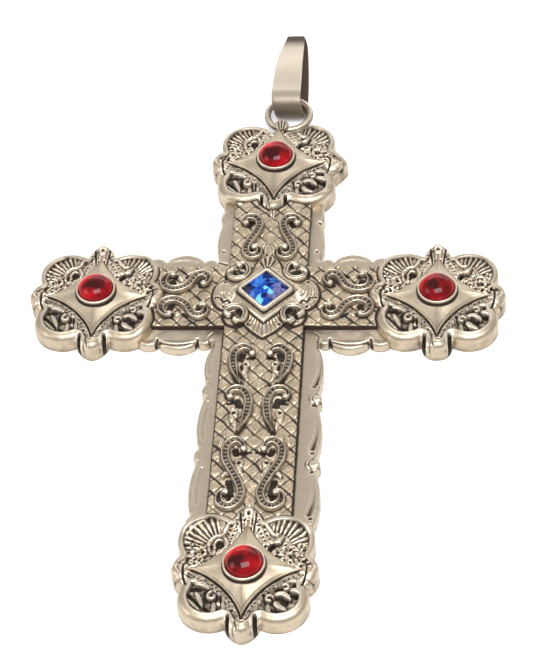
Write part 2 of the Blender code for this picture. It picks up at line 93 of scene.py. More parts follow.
# Outlines, as in the CAD
LOBE_OFFSET = 5.2
LOBE_RADIUS = 4.9
LOBE_STRETCH_X = 1.05  # the lobes are slightly wider across the cross than along it
SIDE_VALLEYS = (9.3, 9.3)  # an arm's half-width in its valleys: where the arms meet, and at the medallion
UPPER_VALLEYS = (9.0, 8.8)
LOWER_LEFT_VALLEYS = (8.8, 9.8)
LOWER_RIGHT_VALLEYS = (9.6, 10.6)
SCALLOP_PERIOD = 14.0
SCALLOP_NUB = 3.0
PANEL_HALF_WIDTH = 6.9
STAR_TIP = 9.4
STAR_POWER = 0.7

# Hanging parts
EYE_RADIUS = 1.22
EYE_WIRE = 0.35
RING_RADIUS = 4.0
RING_WIRE = 0.57
RING_TURN = math.radians(15.0)
BAIL_THICKNESS = 0.7
BAIL_FOOT = (49.05, 3.0)  # (y, z) of the middle of its lower bend, and then of its upper one
BAIL_FOOT_RADIUS = 3.0
BAIL_FOLD = (66.9, 1.5)
BAIL_FOLD_RADIUS = 1.5
BAIL_CROWN = 0.8
BAIL_FOOT_WIDTH = 5.4
BAIL_TAPER = 2.3
BAIL_CENTRE_X = 1.6
BAIL_LEAN = 0.01
BAIL_SKEW = 0.18


# ---- outlines and lines --------------------------------------------------------------------------

def turned_about_z(points, degrees):
    angle = math.radians(degrees)
    c, s = math.cos(angle), math.sin(angle)
    return [(u * c - v * s, u * s + v * c) for u, v in points]


def arc(centre, radius, start, stop, steps=24):
    """Points of an arc, angles in degrees."""
    angles = np.radians(np.linspace(start, stop, steps + 1))
    return [(centre[0] + radius * math.cos(a), centre[1] + radius * math.sin(a)) for a in angles]


def spiral(centre, radii, start, stop, steps=30):
    angles = np.radians(np.linspace(start, stop, steps + 1))
    reach = np.linspace(radii[0], radii[1], steps + 1)
    return [(centre[0] + r * math.cos(a), centre[1] + r * math.sin(a)) for a, r in zip(angles, reach)]


def smooth_line(waypoints, steps=8):
    """A Catmull-Rom line through the waypoints."""
    w = np.array([waypoints[0], *waypoints, waypoints[-1]], float)
    t = (np.arange(steps) / steps)[:, None]
    line = []
    for p, q, r, s in zip(w, w[1:], w[2:], w[3:]):
        line.append(0.5 * (2 * q + (r - p) * t + (2 * p - 5 * q + 4 * r - s) * t ** 2
                           + (3 * q - p - 3 * r + s) * t ** 3))
    return np.vstack(line + [w[-1:]])


def run_along(points):
    """The distance along a line to each of its points."""
    return np.concatenate([[0.0], np.cumsum(np.hypot(*np.diff(points, axis=0).T))])


def flipped(points, flip_x, flip_y=1.0):
    return [(x * flip_x, y * flip_y) for x, y in points]


def curve(waypoints, flip_x=1.0, flip_y=1.0):
    """A smooth line through waypoints that are drawn at +X, +Y and mirrored by -1."""
    return flipped(smooth_line(waypoints), flip_x, flip_y)


def lobed_outline(offset, radius, nubs, stretch_x=1.0, quadrant_scale=(1.0, 1.0, 1.0, 1.0)):
    """Four lobes on the diagonals, with a nub (half-width, tip, shape) on each side, from +X round."""
    lobe_steps, nub_steps = 40, 14
    points = []
    for side in range(4):
        half_width, tip, shape = nubs[side]
        next_half_width = nubs[(side + 1) % 4][0]
        root = offset + math.sqrt(radius ** 2 - (offset - half_width) ** 2)
        next_root = offset + math.sqrt(radius ** 2 - (offset - next_half_width) ** 2)
        start = math.atan2(half_width - offset, root - offset)
        stop = math.pi / 2 - math.atan2(next_half_width - offset, next_root - offset)
        stretch = stretch_x if side % 2 == 0 else 1.0
        nub = []
        for k in range(-nub_steps + 1, nub_steps):
            part = (1.0 - (abs(k) / nub_steps) ** shape) ** (1 / shape)
            nub.append((root * stretch + (tip - root * stretch) * part, half_width * k / nub_steps))
        points += turned_about_z(nub, 90.0 * side)
        lobe = []
        for k in range(lobe_steps + 1):
            angle = start + (stop - start) * k / lobe_steps
            lobe.append((offset + radius * math.cos(angle), offset + radius * math.sin(angle)))
        grown = []
        for x, y in turned_about_z(lobe, 90.0 * side):
            swell = 1.0 + (quadrant_scale[side] - 1.0) * abs(math.sin(2 * math.atan2(y, x)))
            grown.append((x * stretch_x * swell, y * swell))
        points += grown
    return points


def star_outline(steps=60):
    """A four-pointed star with hollow sides."""
    outline = []
    for k in range(4 * steps):
        angle = math.pi / 2 * k / steps
        x = math.copysign(abs(math.cos(angle)) ** (2 / STAR_POWER), math.cos(angle))
        y = math.copysign(abs(math.sin(angle)) ** (2 / STAR_POWER), math.sin(angle))
        outline.append((STAR_TIP * x, STAR_TIP * y))
    return outline


def scalloped_edge(start, first_valley, scallops):
    """Points (u, v) along an arm's edge. Each scallop is (its end along the arm, its height)."""
    points = [(start, 0.0), (first_valley, 0.0)]
    at = first_valley
    for end, height in scallops:
        steps = max(4, int((end - at) / 0.3))
        for k in range(1, steps):
            t = k / steps
            points.append((at + (end - at) * t, height * math.sin(math.pi * t) ** 0.6))
        points.append((end, 0.0))
        at = end
    return points


def arm_side(reach, start, valleys, first_valley, scallops, stretch):
    """One long edge of an arm, for v > 0, and its end tucked against the medallion's lobe."""
    tuck = LOBE_RADIUS - 0.25
    along, across = stretch
    high = math.pi - math.asin(min(1.0, (valleys[1] / across - LOBE_OFFSET) / tuck))
    end_u = reach + along * (tuck * math.cos(high) - LOBE_OFFSET)
    kept = [(min(end, end_u), height) for end, height in scallops if end - 0.5 < end_u]
    slope = (valleys[1] - valleys[0]) / (end_u - start)
    line = [(u, valleys[0] + slope * (u - start) + v) for u, v in scalloped_edge(start, first_valley, kept)]
    line.append((end_u, valleys[1]))
    for angle in np.linspace(high, 1.5 * math.pi, 12)[1:]:
        line.append((reach + along * (tuck * math.cos(angle) - LOBE_OFFSET),
                     across * (tuck * math.sin(angle) + LOBE_OFFSET)))
    return line


def lower_scallops(first_nub):
    """Lobe, nub, lobe, nub and so on down the lower arm, from the place of its first nub."""
    arm_end = LOWER_REACH - LOBE_OFFSET - 2.0
    scallops = [(first_nub, 1.0)]
    at = first_nub
    while at + SCALLOP_NUB < arm_end:
        scallops.append((at + SCALLOP_NUB, 0.9))
        if at + SCALLOP_PERIOD < arm_end:
            scallops.append((at + SCALLOP_PERIOD, 1.0))
        at += SCALLOP_PERIOD
    return scallops + [(arm_end + 0.5, 0.3)]


def base_plate_outline():
    """Four scalloped arms. The lower arm's two edges have their scallops at different places."""
    wide_x, wide_y = (LOBE_STRETCH_X, 1.0), (1.0, LOBE_STRETCH_X)
    side = [(11.6, 0.6), (18.4, 1.7), (22.0, 0.9)]
    top = [(18.4, 0.75), (21.6, 0.6), (24.4, 0.3)]
    start = SIDE_VALLEYS[0]
    above = arm_side(SIDE_REACH, UPPER_VALLEYS[0], SIDE_VALLEYS, UPPER_VALLEYS[0] + 0.4, side, wide_x)
    below_right = arm_side(SIDE_REACH, LOWER_RIGHT_VALLEYS[0], SIDE_VALLEYS, 9.7, side, wide_x)
    below_left = arm_side(SIDE_REACH, LOWER_LEFT_VALLEYS[0], SIDE_VALLEYS, 9.2, side, wide_x)
    upper = arm_side(UPPER_REACH, start, UPPER_VALLEYS, 10.2, top, wide_y)
    lower_left = arm_side(LOWER_REACH, start, LOWER_LEFT_VALLEYS, 10.9, lower_scallops(18.9), wide_y)
    lower_right = arm_side(LOWER_REACH, start, LOWER_RIGHT_VALLEYS, 10.9, lower_scallops(20.9), wide_y)

    def arm(right, left, degrees):
        return turned_about_z([(u, -v) for u, v in right] + left[::-1], degrees)

    points = arm(below_right, above, 0.0) + arm(upper, upper, 90.0)[1:]
    points += arm(above, below_left, 180.0)[1:] + arm(lower_left, lower_right, 270.0)[1:-1]
    return points


def along_segment(x, y, a, b):
    """How far along the segment from a to b the point nearest to (x, y) lies, from 0 to 1."""
    d = b - a
    return np.clip(((x - a[0]) * d[0] + (y - a[1]) * d[1]) / max(d @ d, 1e-12), 0.0, 1.0)


def dot(centre):
    """A line so short that a stroke along it is round."""
    return [centre, (centre[0] + 0.01, centre[1])]


def densified(outline, spacing):
    """The same closed outline with no two points further apart than the spacing."""
    points = []
    for a, b in zip(np.array(outline, float), np.roll(np.array(outline, float), -1, 0)):
        parts = max(1, int(math.ceil(np.hypot(*(b - a)) / spacing)))
        points += [a + (b - a) * k / parts for k in range(parts)]
    return np.array(points)


# ---- relief --------------------------------------------------------------------------------------

def smoothstep(low, high, value):
    t = np.clip((value - low) / (high - low), 0.0, 1.0)
    return t * t * (3 - 2 * t)


def box_blur(values, reach):
    """A box average along both axes, of 2 * reach + 1 cells."""
    for axis in (0, 1):
        padded = np.concatenate([np.zeros_like(np.take(values, [0], axis)), np.cumsum(values, axis)], axis)
        count = values.shape[axis]
        top = np.minimum(np.arange(count) + reach + 1, count)
        low = np.maximum(np.arange(count) - reach, 0)
        values = np.take(padded, top, axis) - np.take(padded, low, axis)
    return values


FAR = 9.0  # a first distance, larger than any that is kept


class Relief:
    """Heights in mm on a square grid over an outline.

    edge is the distance in from the outline, h the height, round the radius of the top's outer edge, and
    the extra darkening what strokes add to the darkness of the hollows: tarnished cuts, and painted shade and
    shadow.
    """

    def __init__(self, outline, step, base, reach=2.4):
        self.outline = np.array(outline, float)
        self.step = step
        self.low = self.outline.min(0) - 3 * step
        counts = np.ceil((self.outline.max(0) + 3 * step - self.low) / step).astype(int) + 1
        self.x = self.low[0] + step * np.arange(counts[0])
        self.y = self.low[1] + step * np.arange(counts[1])
        self.X, self.Y = np.meshgrid(self.x, self.y)
        self.inside = self.filled(self.outline)
        distance, self.nearest = self.distance_to(self.outline, reach)
        self.edge = np.where(self.inside, distance, -distance)
        self.h = np.full(self.X.shape, float(base))
        self.round = 0.5
        self.extra_dirt_and_shade = np.zeros(self.X.shape)

    def soil_and_shade(self, grime_and_shade, at=...):
        """At least this much darkening, everywhere or in one window: tarnished hollows, and painted shade
        where a stroke paints a shadow.
        """
        self.extra_dirt_and_shade[at] = np.maximum(self.extra_dirt_and_shade[at], grime_and_shade)

    def window(self, low, high):
        """The slices of the grid between two corners."""
        i0, j0 = np.maximum(np.floor((np.array(low) - self.low) / self.step).astype(int), 0)
        i1, j1 = np.ceil((np.array(high) - self.low) / self.step).astype(int) + 1
        return slice(j0, max(j1, 0)), slice(i0, max(i1, 0))

    def filled(self, outline):
        """True inside the closed outline."""
        toggles = np.zeros(self.X.shape, int)
        for (ax, ay), (bx, by) in zip(outline, np.roll(outline, -1, 0)):
            if ay == by:
                continue
            rows = np.arange(math.ceil((min(ay, by) - self.low[1]) / self.step),
                             math.ceil((max(ay, by) - self.low[1]) / self.step))
            rows = rows[(rows >= 0) & (rows < len(self.y))]
            at = ax + (self.y[rows] - ay) * (bx - ax) / (by - ay)
            columns = np.clip(np.ceil((at - self.low[0]) / self.step).astype(int), 0, len(self.x) - 1)
            np.add.at(toggles, (rows, columns), 1)
        return np.cumsum(toggles, axis=1) % 2 == 1

    def distance_to(self, outline, reach):
        """Distance to the closed outline up to reach, and its nearest point."""
        outline = densified(outline, reach)
        distance = np.full(self.X.shape, float(reach))
        nearest = np.stack([self.X, self.Y])
        for a, b in zip(outline, np.roll(outline, -1, 0)):
            at = self.window(np.minimum(a, b) - reach, np.maximum(a, b) + reach)
            x, y = self.X[at], self.Y[at]
            if not x.size:
                continue
            t = along_segment(x, y, a, b)
            px, py = a[0] + t * (b[0] - a[0]), a[1] + t * (b[1] - a[1])
            gap = np.hypot(x - px, y - py)
            closer = gap < distance[at]
            distance[at] = np.where(closer, gap, distance[at])
            nearest[0][at] = np.where(closer, px, nearest[0][at])
            nearest[1][at] = np.where(closer, py, nearest[1][at])
        return distance, nearest

    def signed_distance(self, outline, reach):
        distance, _ = self.distance_to(outline, reach)
        return np.where(self.filled(np.array(outline, float)), distance, -distance)

    def near_line(self, path, half):
        """The window round a line, the distance from it over its half-width, and how far along it.

        half, like a lift or a depth, is one number or several spread evenly along the line.
        """
        points = np.array(path, float)
        halves = np.interp(np.linspace(0, 1, len(points)), np.linspace(0, 1, np.size(half)), np.ravel(half))
        at = self.window(points.min(0) - halves.max(), points.max(0) + halves.max())
        x, y = self.X[at], self.Y[at]
        lengths = np.hypot(*np.diff(points, axis=0).T)
        run = run_along(points)
        apart = np.full(x.shape, FAR)
        along = np.zeros(x.shape)
        for k, (a, b) in enumerate(zip(points, points[1:])):
            t = along_segment(x, y, a, b)
            wide = halves[k] + (halves[k + 1] - halves[k]) * t
            gap = np.hypot(x - a[0] - t * (b[0] - a[0]), y - a[1] - t * (b[1] - a[1])) / wide
            closer = gap < apart
            apart = np.where(closer, gap, apart)
            along = np.where(closer, (run[k] + t * lengths[k]) / run[-1], along)
        return at, apart, along

    def raise_line(self, path, half, lift, level=None):
        """A rounded bead along a line: added to the surface, or standing up to a level of its own."""
        at, apart, along = self.near_line(path, half)
        lifts = np.interp(along, np.linspace(0, 1, np.size(lift)), np.ravel(lift))
        bump = np.sqrt(np.clip(1 - apart ** 2, 0, 1))
        if level is None:
            self.h[at] += lifts * bump
        else:
            top = level - lifts * (1 - bump)
            self.h[at] = np.where(apart < 1, np.maximum(self.h[at], top), self.h[at])
        self.extra_dirt_and_shade[at] *= 1 - 0.9 * bump

    def cut_line(self, path, half, depth, grime_and_shade=0.0):
        """A groove with soft edges along a line."""
        at, apart, along = self.near_line(path, half)
        depths = np.interp(along, np.linspace(0, 1, np.size(depth)), np.ravel(depth))
        hollow = (1 - np.clip(apart, 0, 1) ** 2) ** 1.5
        self.h[at] -= depths * hollow
        self.soil_and_shade(grime_and_shade * hollow, at)

    def pool(self, path, half, depth, grime_and_shade=1.0):
        """A flat-bottomed dark hollow along a line."""
        at, apart, _ = self.near_line(path, half)
        hollow = smoothstep(1.0, 0.7, apart)
        self.h[at] -= depth * hollow
        self.soil_and_shade(grime_and_shade * hollow, at)

    def grain(self, size, seed):
        """Smooth random waves about a size in mm across, from -1 to 1."""
        random = np.random.default_rng(seed)
        gx, gy = (self.X - self.low[0]) / size, (self.Y - self.low[1]) / size
        table = random.uniform(-1, 1, (int(gy.max()) + 2, int(gx.max()) + 2))
        i, j = gx.astype(int), gy.astype(int)
        u, v = smoothstep(0, 1, gx - i), smoothstep(0, 1, gy - j)
        near = table[j, i] * (1 - u) + table[j, i + 1] * u
        far = table[j + 1, i] * (1 - u) + table[j + 1, i + 1] * u
        return near * (1 - v) + far * v

    def grains(self, pitch, seed):
        """Distance to the nearest of a scatter of points a pitch apart."""
        random = np.random.default_rng(seed)
        gx, gy = (self.X - self.low[0]) / pitch + 1, (self.Y - self.low[1]) / pitch + 1
        shape = (int(gy.max()) + 3, int(gx.max()) + 3)
        jitter_x, jitter_y = random.uniform(0.1, 0.9, shape), random.uniform(0.1, 0.9, shape)
        i, j = gx.astype(int), gy.astype(int)
        nearest = np.full(self.X.shape, FAR)
        for dj in (-1, 0, 1):
            for di in (-1, 0, 1):
                px, py = i + di + jitter_x[j + dj, i + di], j + dj + jitter_y[j + dj, i + di]
                nearest = np.minimum(nearest, np.hypot(gx - px, gy - py))
        return nearest * pitch

    def granulate(self, mask, pitch, radius, depth, seed, grime_and_shade=1.0):
        """Punched dots scattered over a masked area."""
        dots = mask * smoothstep(radius * 1.25, radius * 0.6, self.grains(pitch, seed))
        self.h -= depth * dots
        self.soil_and_shade(grime_and_shade * dots)

    def flutes(self, centre, spacing, first, last, reach, depth, mask=1.0):
        """Hollows that spread from a centre between two directions in degrees."""
        dx, dy = self.X - centre[0], self.Y - centre[1]
        away, turn = np.hypot(dx, dy), np.degrees(np.arctan2(dy, dx))
        turn = np.where(turn < first - 5, turn + 360, turn)
        near, far = reach
        within = smoothstep(first, first + 4, turn) * smoothstep(last, last - 4, turn) * mask
        within = within * smoothstep(near, near + 0.3, away) * smoothstep(far, far - 0.3, away)
        hollow = np.abs(np.cos(np.radians((turn - first) * 180.0 / spacing))) ** 2.5
        self.h -= depth * within * hollow
        grime_and_shade = 0.9 * min(1.0, depth / 0.25)
        self.soil_and_shade(grime_and_shade * within * smoothstep(0.55, 0.95, hollow))

    def pit(self, centre, radius, depth, grime_and_shade=0.9):
        self.cut_line(dot(centre), radius, depth, grime_and_shade)

    def curl(self, centre, radius, start, sweep, level):
        """A rolled leaf tip: a fat arc round a dark eye."""
        self.pool(dot(centre), radius * 1.5, 0.5, 0.9)
        line = spiral(centre, (radius, radius * 0.55), start, start + sweep)
        self.raise_line(line, [radius * 0.35, radius * 0.5, radius * 0.45], 0.6, level)
        self.pit(centre, radius * 0.42, 0.5, 1.0)

    def punched(self, path, spacing, radius, depth=0.5):
        """A row of punched dots along a line."""
        points = np.array(path, float)
        run = run_along(points)
        for at in np.arange(spacing / 2, run[-1], spacing):
            centre = (np.interp(at, run, points[:, 0]), np.interp(at, run, points[:, 1]))
            self.pit(centre, radius, depth, 1.0)

    def leaf(self, path, half, lift, vein=0.25, level=None):
        """A leaf that swells in the middle and ends in a point, with a groove down its middle."""
        swell = [0.45 * half, 0.9 * half, half, 0.8 * half, 0.15 * half]
        self.raise_line(path, swell, [lift * 0.8, lift, lift * 0.7], level)
        if vein:
            self.cut_line(path, [0.16, 0.12], vein, 0.4)

    def blurred(self, size):
        """The average height within about a size in mm, inside the outline only."""
        reach = max(1, int(round(size / self.step / 2)))
        weight = self.inside.astype(float)
        heights = self.h * weight
        for _ in range(3):
            weight, heights = box_blur(weight, reach), box_blur(heights, reach)
        return heights / np.maximum(weight, 1e-9)

    def dirt_shade_and_wear(self):
        """Tarnished darkening in the hollows, with the painted shade that strokes add, and rubbed brightness
        on high edges, both from 0 to 1.
        """
        fine, wide = self.blurred(0.3), self.blurred(1.0)
        fine_dirt = np.clip((fine - self.h) / 0.11 - 0.12, 0, 1)
        wide_dirt = np.clip((wide - self.h) / 0.42 - 0.25, 0, 1)
        dirt_and_shade = np.maximum(np.maximum(fine_dirt, wide_dirt), np.clip(self.extra_dirt_and_shade, 0, 1))
        wear_and_sheen = np.clip((self.h - fine) / 0.07, 0, 1) * 0.6 + np.clip((self.h - wide) / 0.3, 0, 1) * 0.5
        return dirt_and_shade, np.clip(wear_and_sheen, 0, 1)

    def top(self, hidden):
        """The relief's top: its points, their (dirt, polish) and its quads, without the hidden cells.

        Points just outside the outline are drawn in to it, and its edge is rounded.
        """
        inner = self.edge > 0.5 * self.step
        snapped = (box_blur(inner.astype(int), 1) > 0) & ~inner
        x = np.where(snapped, self.nearest[0], self.X)
        y = np.where(snapped, self.nearest[1], self.Y)
        inward = np.where(snapped, 0.0, np.clip(self.edge, 0.0, self.round))
        z = self.h - (self.round - np.sqrt(np.maximum(self.round ** 2 - (self.round - inward) ** 2, 0.0)))
        cells = inner[:-1, :-1] | inner[1:, :-1] | inner[:-1, 1:] | inner[1:, 1:]
        if hidden is not None:
            cells &= ~(hidden[:-1, :-1] & hidden[1:, :-1] & hidden[:-1, 1:] & hidden[1:, 1:])
        number = np.arange(x.size).reshape(x.shape)
        quads = np.stack([number[:-1, :-1], number[:-1, 1:], number[1:, 1:], number[1:, :-1]], -1)[cells]
        used, quads = np.unique(quads, return_inverse=True)
        points = np.stack([x.ravel()[used], y.ravel()[used], z.ravel()[used]], 1)
        marks = np.stack([layer.ravel()[used] for layer in self.dirt_shade_and_wear()], 1)
        return points, marks, quads.reshape(-1, 4)

    def solid(self, name, bottom, offset=(0.0, 0.0), hidden=None, wall_dirt_and_shade=(0.05, 0.3)):
        """A closed mesh: the relief on top, straight walls and a flat back. Hidden cells are one face."""
        points, marks, quads = self.top(hidden)
        parts, mark_parts, faces, ngons = [points], [marks], [quads], []
        count = len(points)
        for loop in boundary_loops(quads):
            ring = points[loop]
            clean = np.zeros(len(loop))
            turn = ring[:, 0] * np.roll(ring[:, 1], -1) - np.roll(ring[:, 0], -1) * ring[:, 1]
            if turn.sum() < 0:
                ngons.append(loop[::-1])
                continue
            rows = [loop]
            # Each wall darkens towards its foot by the amounts given: tarnished, and painted shade where it
            # meets what lies below.
            for part, grime_and_shade in ((0.15, wall_dirt_and_shade[0]), (0.6, wall_dirt_and_shade[0]), (1.0, wall_dirt_and_shade[1])):
                row = ring.copy()
                row[:, 2] = ring[:, 2] + (bottom - ring[:, 2]) * part
                parts.append(row)
                mark_parts.append(np.stack([np.maximum(marks[loop, 0] * (1 - part) * 0.8, grime_and_shade), clean], 1))
                rows.append(count + np.arange(len(loop)))
                count += len(loop)
            for above, below in zip(rows, rows[1:]):
                faces.append(np.stack([above, below, np.roll(below, -1), np.roll(above, -1)], 1))
            parts.append(parts[-1])
            mark_parts.append(np.stack([clean + 0.15, clean], 1))
            ngons.append((count + np.arange(len(loop)))[::-1])
            count += len(loop)
        points = np.vstack(parts) + np.array([*offset, 0.0])
        return built(name, points, np.vstack(faces), ngons, np.vstack(mark_parts))


def boundary_loops(quads):
    """The closed loops of edges that only one quad uses, in the quads' own direction."""
    starts = quads.ravel()
    stops = np.roll(quads, -1, 1).ravel()
    size = int(quads.max()) + 1
    forward = starts.astype(np.int64) * size + stops
    backward = stops.astype(np.int64) * size + starts
    lone = ~np.isin(forward, backward)
    follow = {}
    for a, b in zip(starts[lone].tolist(), stops[lone].tolist()):
        follow.setdefault(a, []).append(b)
    loops = []
    while follow:
        first = next(iter(follow))
        loop, at = [], first
        while at in follow:
            loop.append(at)
            nexts = follow[at]
            step = nexts.pop()
            if not nexts:
                del follow[at]
            at = step
        loops.append(np.array(loop))
    return loops


# ---- meshes --------------------------------------------------------------------------------------

def added(name, data):
    """An object in the scene that holds the data."""
    made = bpy.data.objects.new(name, data)
    bpy.context.scene.collection.objects.link(made)
    return made


def built(name, points, quads, ngons=(), marks=None):
    """An object from points in mm, quads, larger faces, and each point's (dirt, polish)."""
    mesh = bpy.data.meshes.new(name)
    mesh.vertices.add(len(points))
    mesh.vertices.foreach_set("co", (np.asarray(points) * MM).ravel().astype(np.float32))
    corners = np.concatenate([np.asarray(quads).ravel(), *map(np.asarray, ngons)]).astype(np.int32)
    totals = np.concatenate([np.full(len(quads), 4), [len(n) for n in ngons]]).astype(np.int32)
    mesh.loops.add(len(corners))
    mesh.loops.foreach_set("vertex_index", corners)
    mesh.polygons.add(len(totals))
    mesh.polygons.foreach_set("loop_start", (np.cumsum(totals) - totals).astype(np.int32))
    mesh.polygons.foreach_set("loop_total", totals)
    mesh.update(calc_edges=True)
    mesh.validate()
    mesh.shade_smooth()
    if marks is not None:
        # The first mark is darkening, tarnish and painted shade alike; the second is brightening, wear and
        # painted sheen alike.
        for column, label in enumerate(("dirt_and_shade", "wear_and_sheen")):
            layer = mesh.attributes.new(label, "FLOAT", "POINT")
            layer.data.foreach_set("value", np.ascontiguousarray(marks[:, column], np.float32))
    return added(name, mesh)


def grid_quads(rows, columns, wrap_rows=False, wrap_columns=True):
    """Quads of a grid of points numbered row by row."""
    r = np.arange(rows if wrap_rows else rows - 1)
    c = np.arange(columns if wrap_columns else columns - 1)
    r, c = [v.ravel() for v in np.meshgrid(r, c, indexing="ij")]
    right, above = (c + 1) % columns, (r + 1) % rows
    return np.stack([r * columns + c, r * columns + right, above * columns + right, above * columns + c], 1)


def lathe(name, profile, offset, steps=72, marks=None):
    """A turned body: the profile (radius, height) starts and ends on the axis."""
    profile = np.array(profile, float)
    body = profile[1:-1]
    angles = np.linspace(0, 2 * math.pi, steps, endpoint=False)
    rings = [np.stack([r * np.cos(angles), r * np.sin(angles), np.full(steps, z)], 1) for r, z in body]
    ends = np.array([[0, 0, profile[0][1]], [0, 0, profile[-1][1]]])
    points = np.vstack(rings + [ends]) + np.array([offset[0], offset[1], 0.0])
    quads = grid_quads(len(body), steps)[:, ::-1]
    first, last = len(points) - 2, len(points) - 1
    fans = []
    for k in range(steps):
        fans.append([first, k, (k + 1) % steps])
        fans.append([last, (len(body) - 1) * steps + (k + 1) % steps, (len(body) - 1) * steps + k])
    if marks is not None:
        marks = np.vstack([np.repeat(np.array(marks, float)[1:-1], steps, 0), marks[0], marks[-1]])
    return built(name, points, quads, fans, marks)


def swept(name, centres, sides, ups, section, closed, marks=None):
    """A tube: section (across, up) carried along centres with its side and up directions."""
    centres, sides, ups = (np.array(v, float) for v in (centres, sides, ups))
    rows = [centre + np.outer(s[:, 0], side) + np.outer(s[:, 1], up)
            for centre, side, up, s in zip(centres, sides, ups, section)]
    columns = len(section[0])
    quads = grid_quads(len(rows), columns, wrap_rows=closed)
    ends = [] if closed else [np.arange(columns)[::-1], (len(rows) - 1) * columns + np.arange(columns)]
    return built(name, np.vstack(rows), quads, ends, marks)


# ---- materials -----------------------------------------------------------------------------------

class Graph:
    """Builds a material's nodes."""

    def __init__(self, name):
        self.material = bpy.data.materials.new(name)
        self.material.use_nodes = True
        self.tree = self.material.node_tree
        self.shader = self.tree.nodes["Principled BSDF"]

    def node(self, kind, inputs=None, **settings):
        made = self.tree.nodes.new(kind)
        for key, value in settings.items():
            setattr(made, key, value)
        for key, value in (inputs or {}).items():
            self.put(value, made.inputs[key])
        return made

    def surface(self, name, value):
        """Sets or links one of the shader's inputs."""
        self.put(value, self.shader.inputs[name])

    def put(self, value, socket):
        if isinstance(value, bpy.types.NodeSocket):
            self.tree.links.new(value, socket)
        else:
            socket.default_value = value

    def math(self, operation, a, b=0.0, clamp=False):
        return self.node("ShaderNodeMath", {0: a, 1: b}, operation=operation, use_clamp=clamp).outputs[0]

    def mix(self, amount, a, b, blend="MIX"):
        made = self.node("ShaderNodeMix", data_type="RGBA", blend_type=blend)
        self.put(amount, made.inputs[0])
        self.put(a, made.inputs[6])
        self.put(b, made.inputs[7])
        return made.outputs[2]

    def noise(self, scale, detail=3.0, roughness=0.55, stretch=None):
        where = self.node("ShaderNodeTexCoord").outputs["Object"]
        if stretch:
            where = self.node("ShaderNodeMapping", {"Vector": where, "Scale": stretch}).outputs[0]
        made = self.node("ShaderNodeTexNoise", {"Vector": where, "Scale": scale, "Detail": detail,
                                                "Roughness": roughness})
        return made.outputs[0]

    def attribute(self, name):
        return self.node("ShaderNodeAttribute", attribute_name=name).outputs["Fac"]

    def spread(self, value, low, high, to_low=0.0, to_high=1.0):
        return self.node("ShaderNodeMapRange", {0: value, 1: low, 2: high, 3: to_low, 4: to_high}).outputs[0]


def silver(name, bright=(0.83, 0.735, 0.60), dull=(0.475, 0.39, 0.285), grime_and_shade=(0.020, 0.012, 0.006),
           roughness=0.36, grain=0.35, wash=0.0):
    """Antiqued silver: near black in tarnished hollows and where shade is painted, dull silver between,
    brighter on worn edges and where sheen is painted.
    """
    g = Graph(name)
    dirt_and_shade, wear_and_sheen = g.attribute("dirt_and_shade"), g.attribute("wear_and_sheen")
    blotches = g.noise(450.0, 4.0)
    fine = g.noise(3800.0, 3.0)
    # The darkening marks carry both tarnished hollows and painted shade.
    stained_and_shaded = g.math("ADD", dirt_and_shade, g.spread(blotches, 0.35, 0.7, wash - 0.12, wash + 0.16))
    stained_and_shaded = g.spread(stained_and_shaded, 0.06, 0.8)
    worn = g.math("ADD", wear_and_sheen, g.spread(fine, 0.3, 0.7, -0.2, 0.2), clamp=True)
    metal = g.mix(worn, (*dull, 1.0), (*bright, 1.0))
    metal = g.mix(g.spread(blotches, 0.3, 0.7, 0.0, 0.3), metal, (*(0.82 * v for v in dull), 1.0))
    colour = g.mix(stained_and_shaded, metal, (*grime_and_shade, 1.0))
    g.surface("Base Color", colour)
    g.surface("Metallic", g.math("SUBTRACT", 1.0, g.math("MULTIPLY", stained_and_shaded, 0.75)))
    matt = g.spread(fine, 0.3, 0.7, roughness - 0.05, roughness + 0.1)
    rough = g.math("ADD", matt, g.math("MULTIPLY", stained_and_shaded, 0.3))
    g.surface("Roughness", g.math("SUBTRACT", rough, g.math("MULTIPLY", worn, 0.06)))
    bump = g.node("ShaderNodeBump", {"Strength": grain, "Distance": 0.00006, "Height": fine})
    coarse = g.node("ShaderNodeBump", {"Strength": 0.25, "Distance": 0.0002, "Height": g.noise(700.0, 4.0),
                                       "Normal": bump.outputs[0]})
    g.surface("Normal", coarse.outputs[0])
    return g.material


def brushed_silver(name, stretch, roughness=0.38):
    """Silver with fine lines along one direction."""
    g = Graph(name)
    dirt_and_shade = g.attribute("dirt_and_shade")
    lines = g.noise(900.0, 3.0, 0.6, stretch)
    blotches = g.noise(260.0, 4.0)
    metal = g.mix(g.spread(lines, 0.3, 0.7), (0.55, 0.475, 0.38, 1.0), (0.64, 0.56, 0.455, 1.0))
    metal = g.mix(g.spread(blotches, 0.35, 0.75, 0.0, 0.3), metal, (0.42, 0.355, 0.275, 1.0))
    # The marks that darken it are painted shade on the bail, over a light tarnish.
    g.surface("Base Color", g.mix(g.spread(dirt_and_shade, 0.05, 0.9), metal, (0.06, 0.04, 0.025, 1.0)))
    g.surface("Metallic", g.spread(dirt_and_shade, 0.0, 1.0, 1.0, 0.35))
    g.surface("Specular IOR Level", g.spread(dirt_and_shade, 0.0, 1.0, 0.5, 0.1))
    g.surface("Roughness", g.spread(lines, 0.3, 0.7, roughness - 0.04, roughness + 0.1))
    bump = g.node("ShaderNodeBump", {"Strength": 0.15, "Distance": 0.00005, "Height": lines})
    g.surface("Normal", bump.outputs[0])
    return g.material


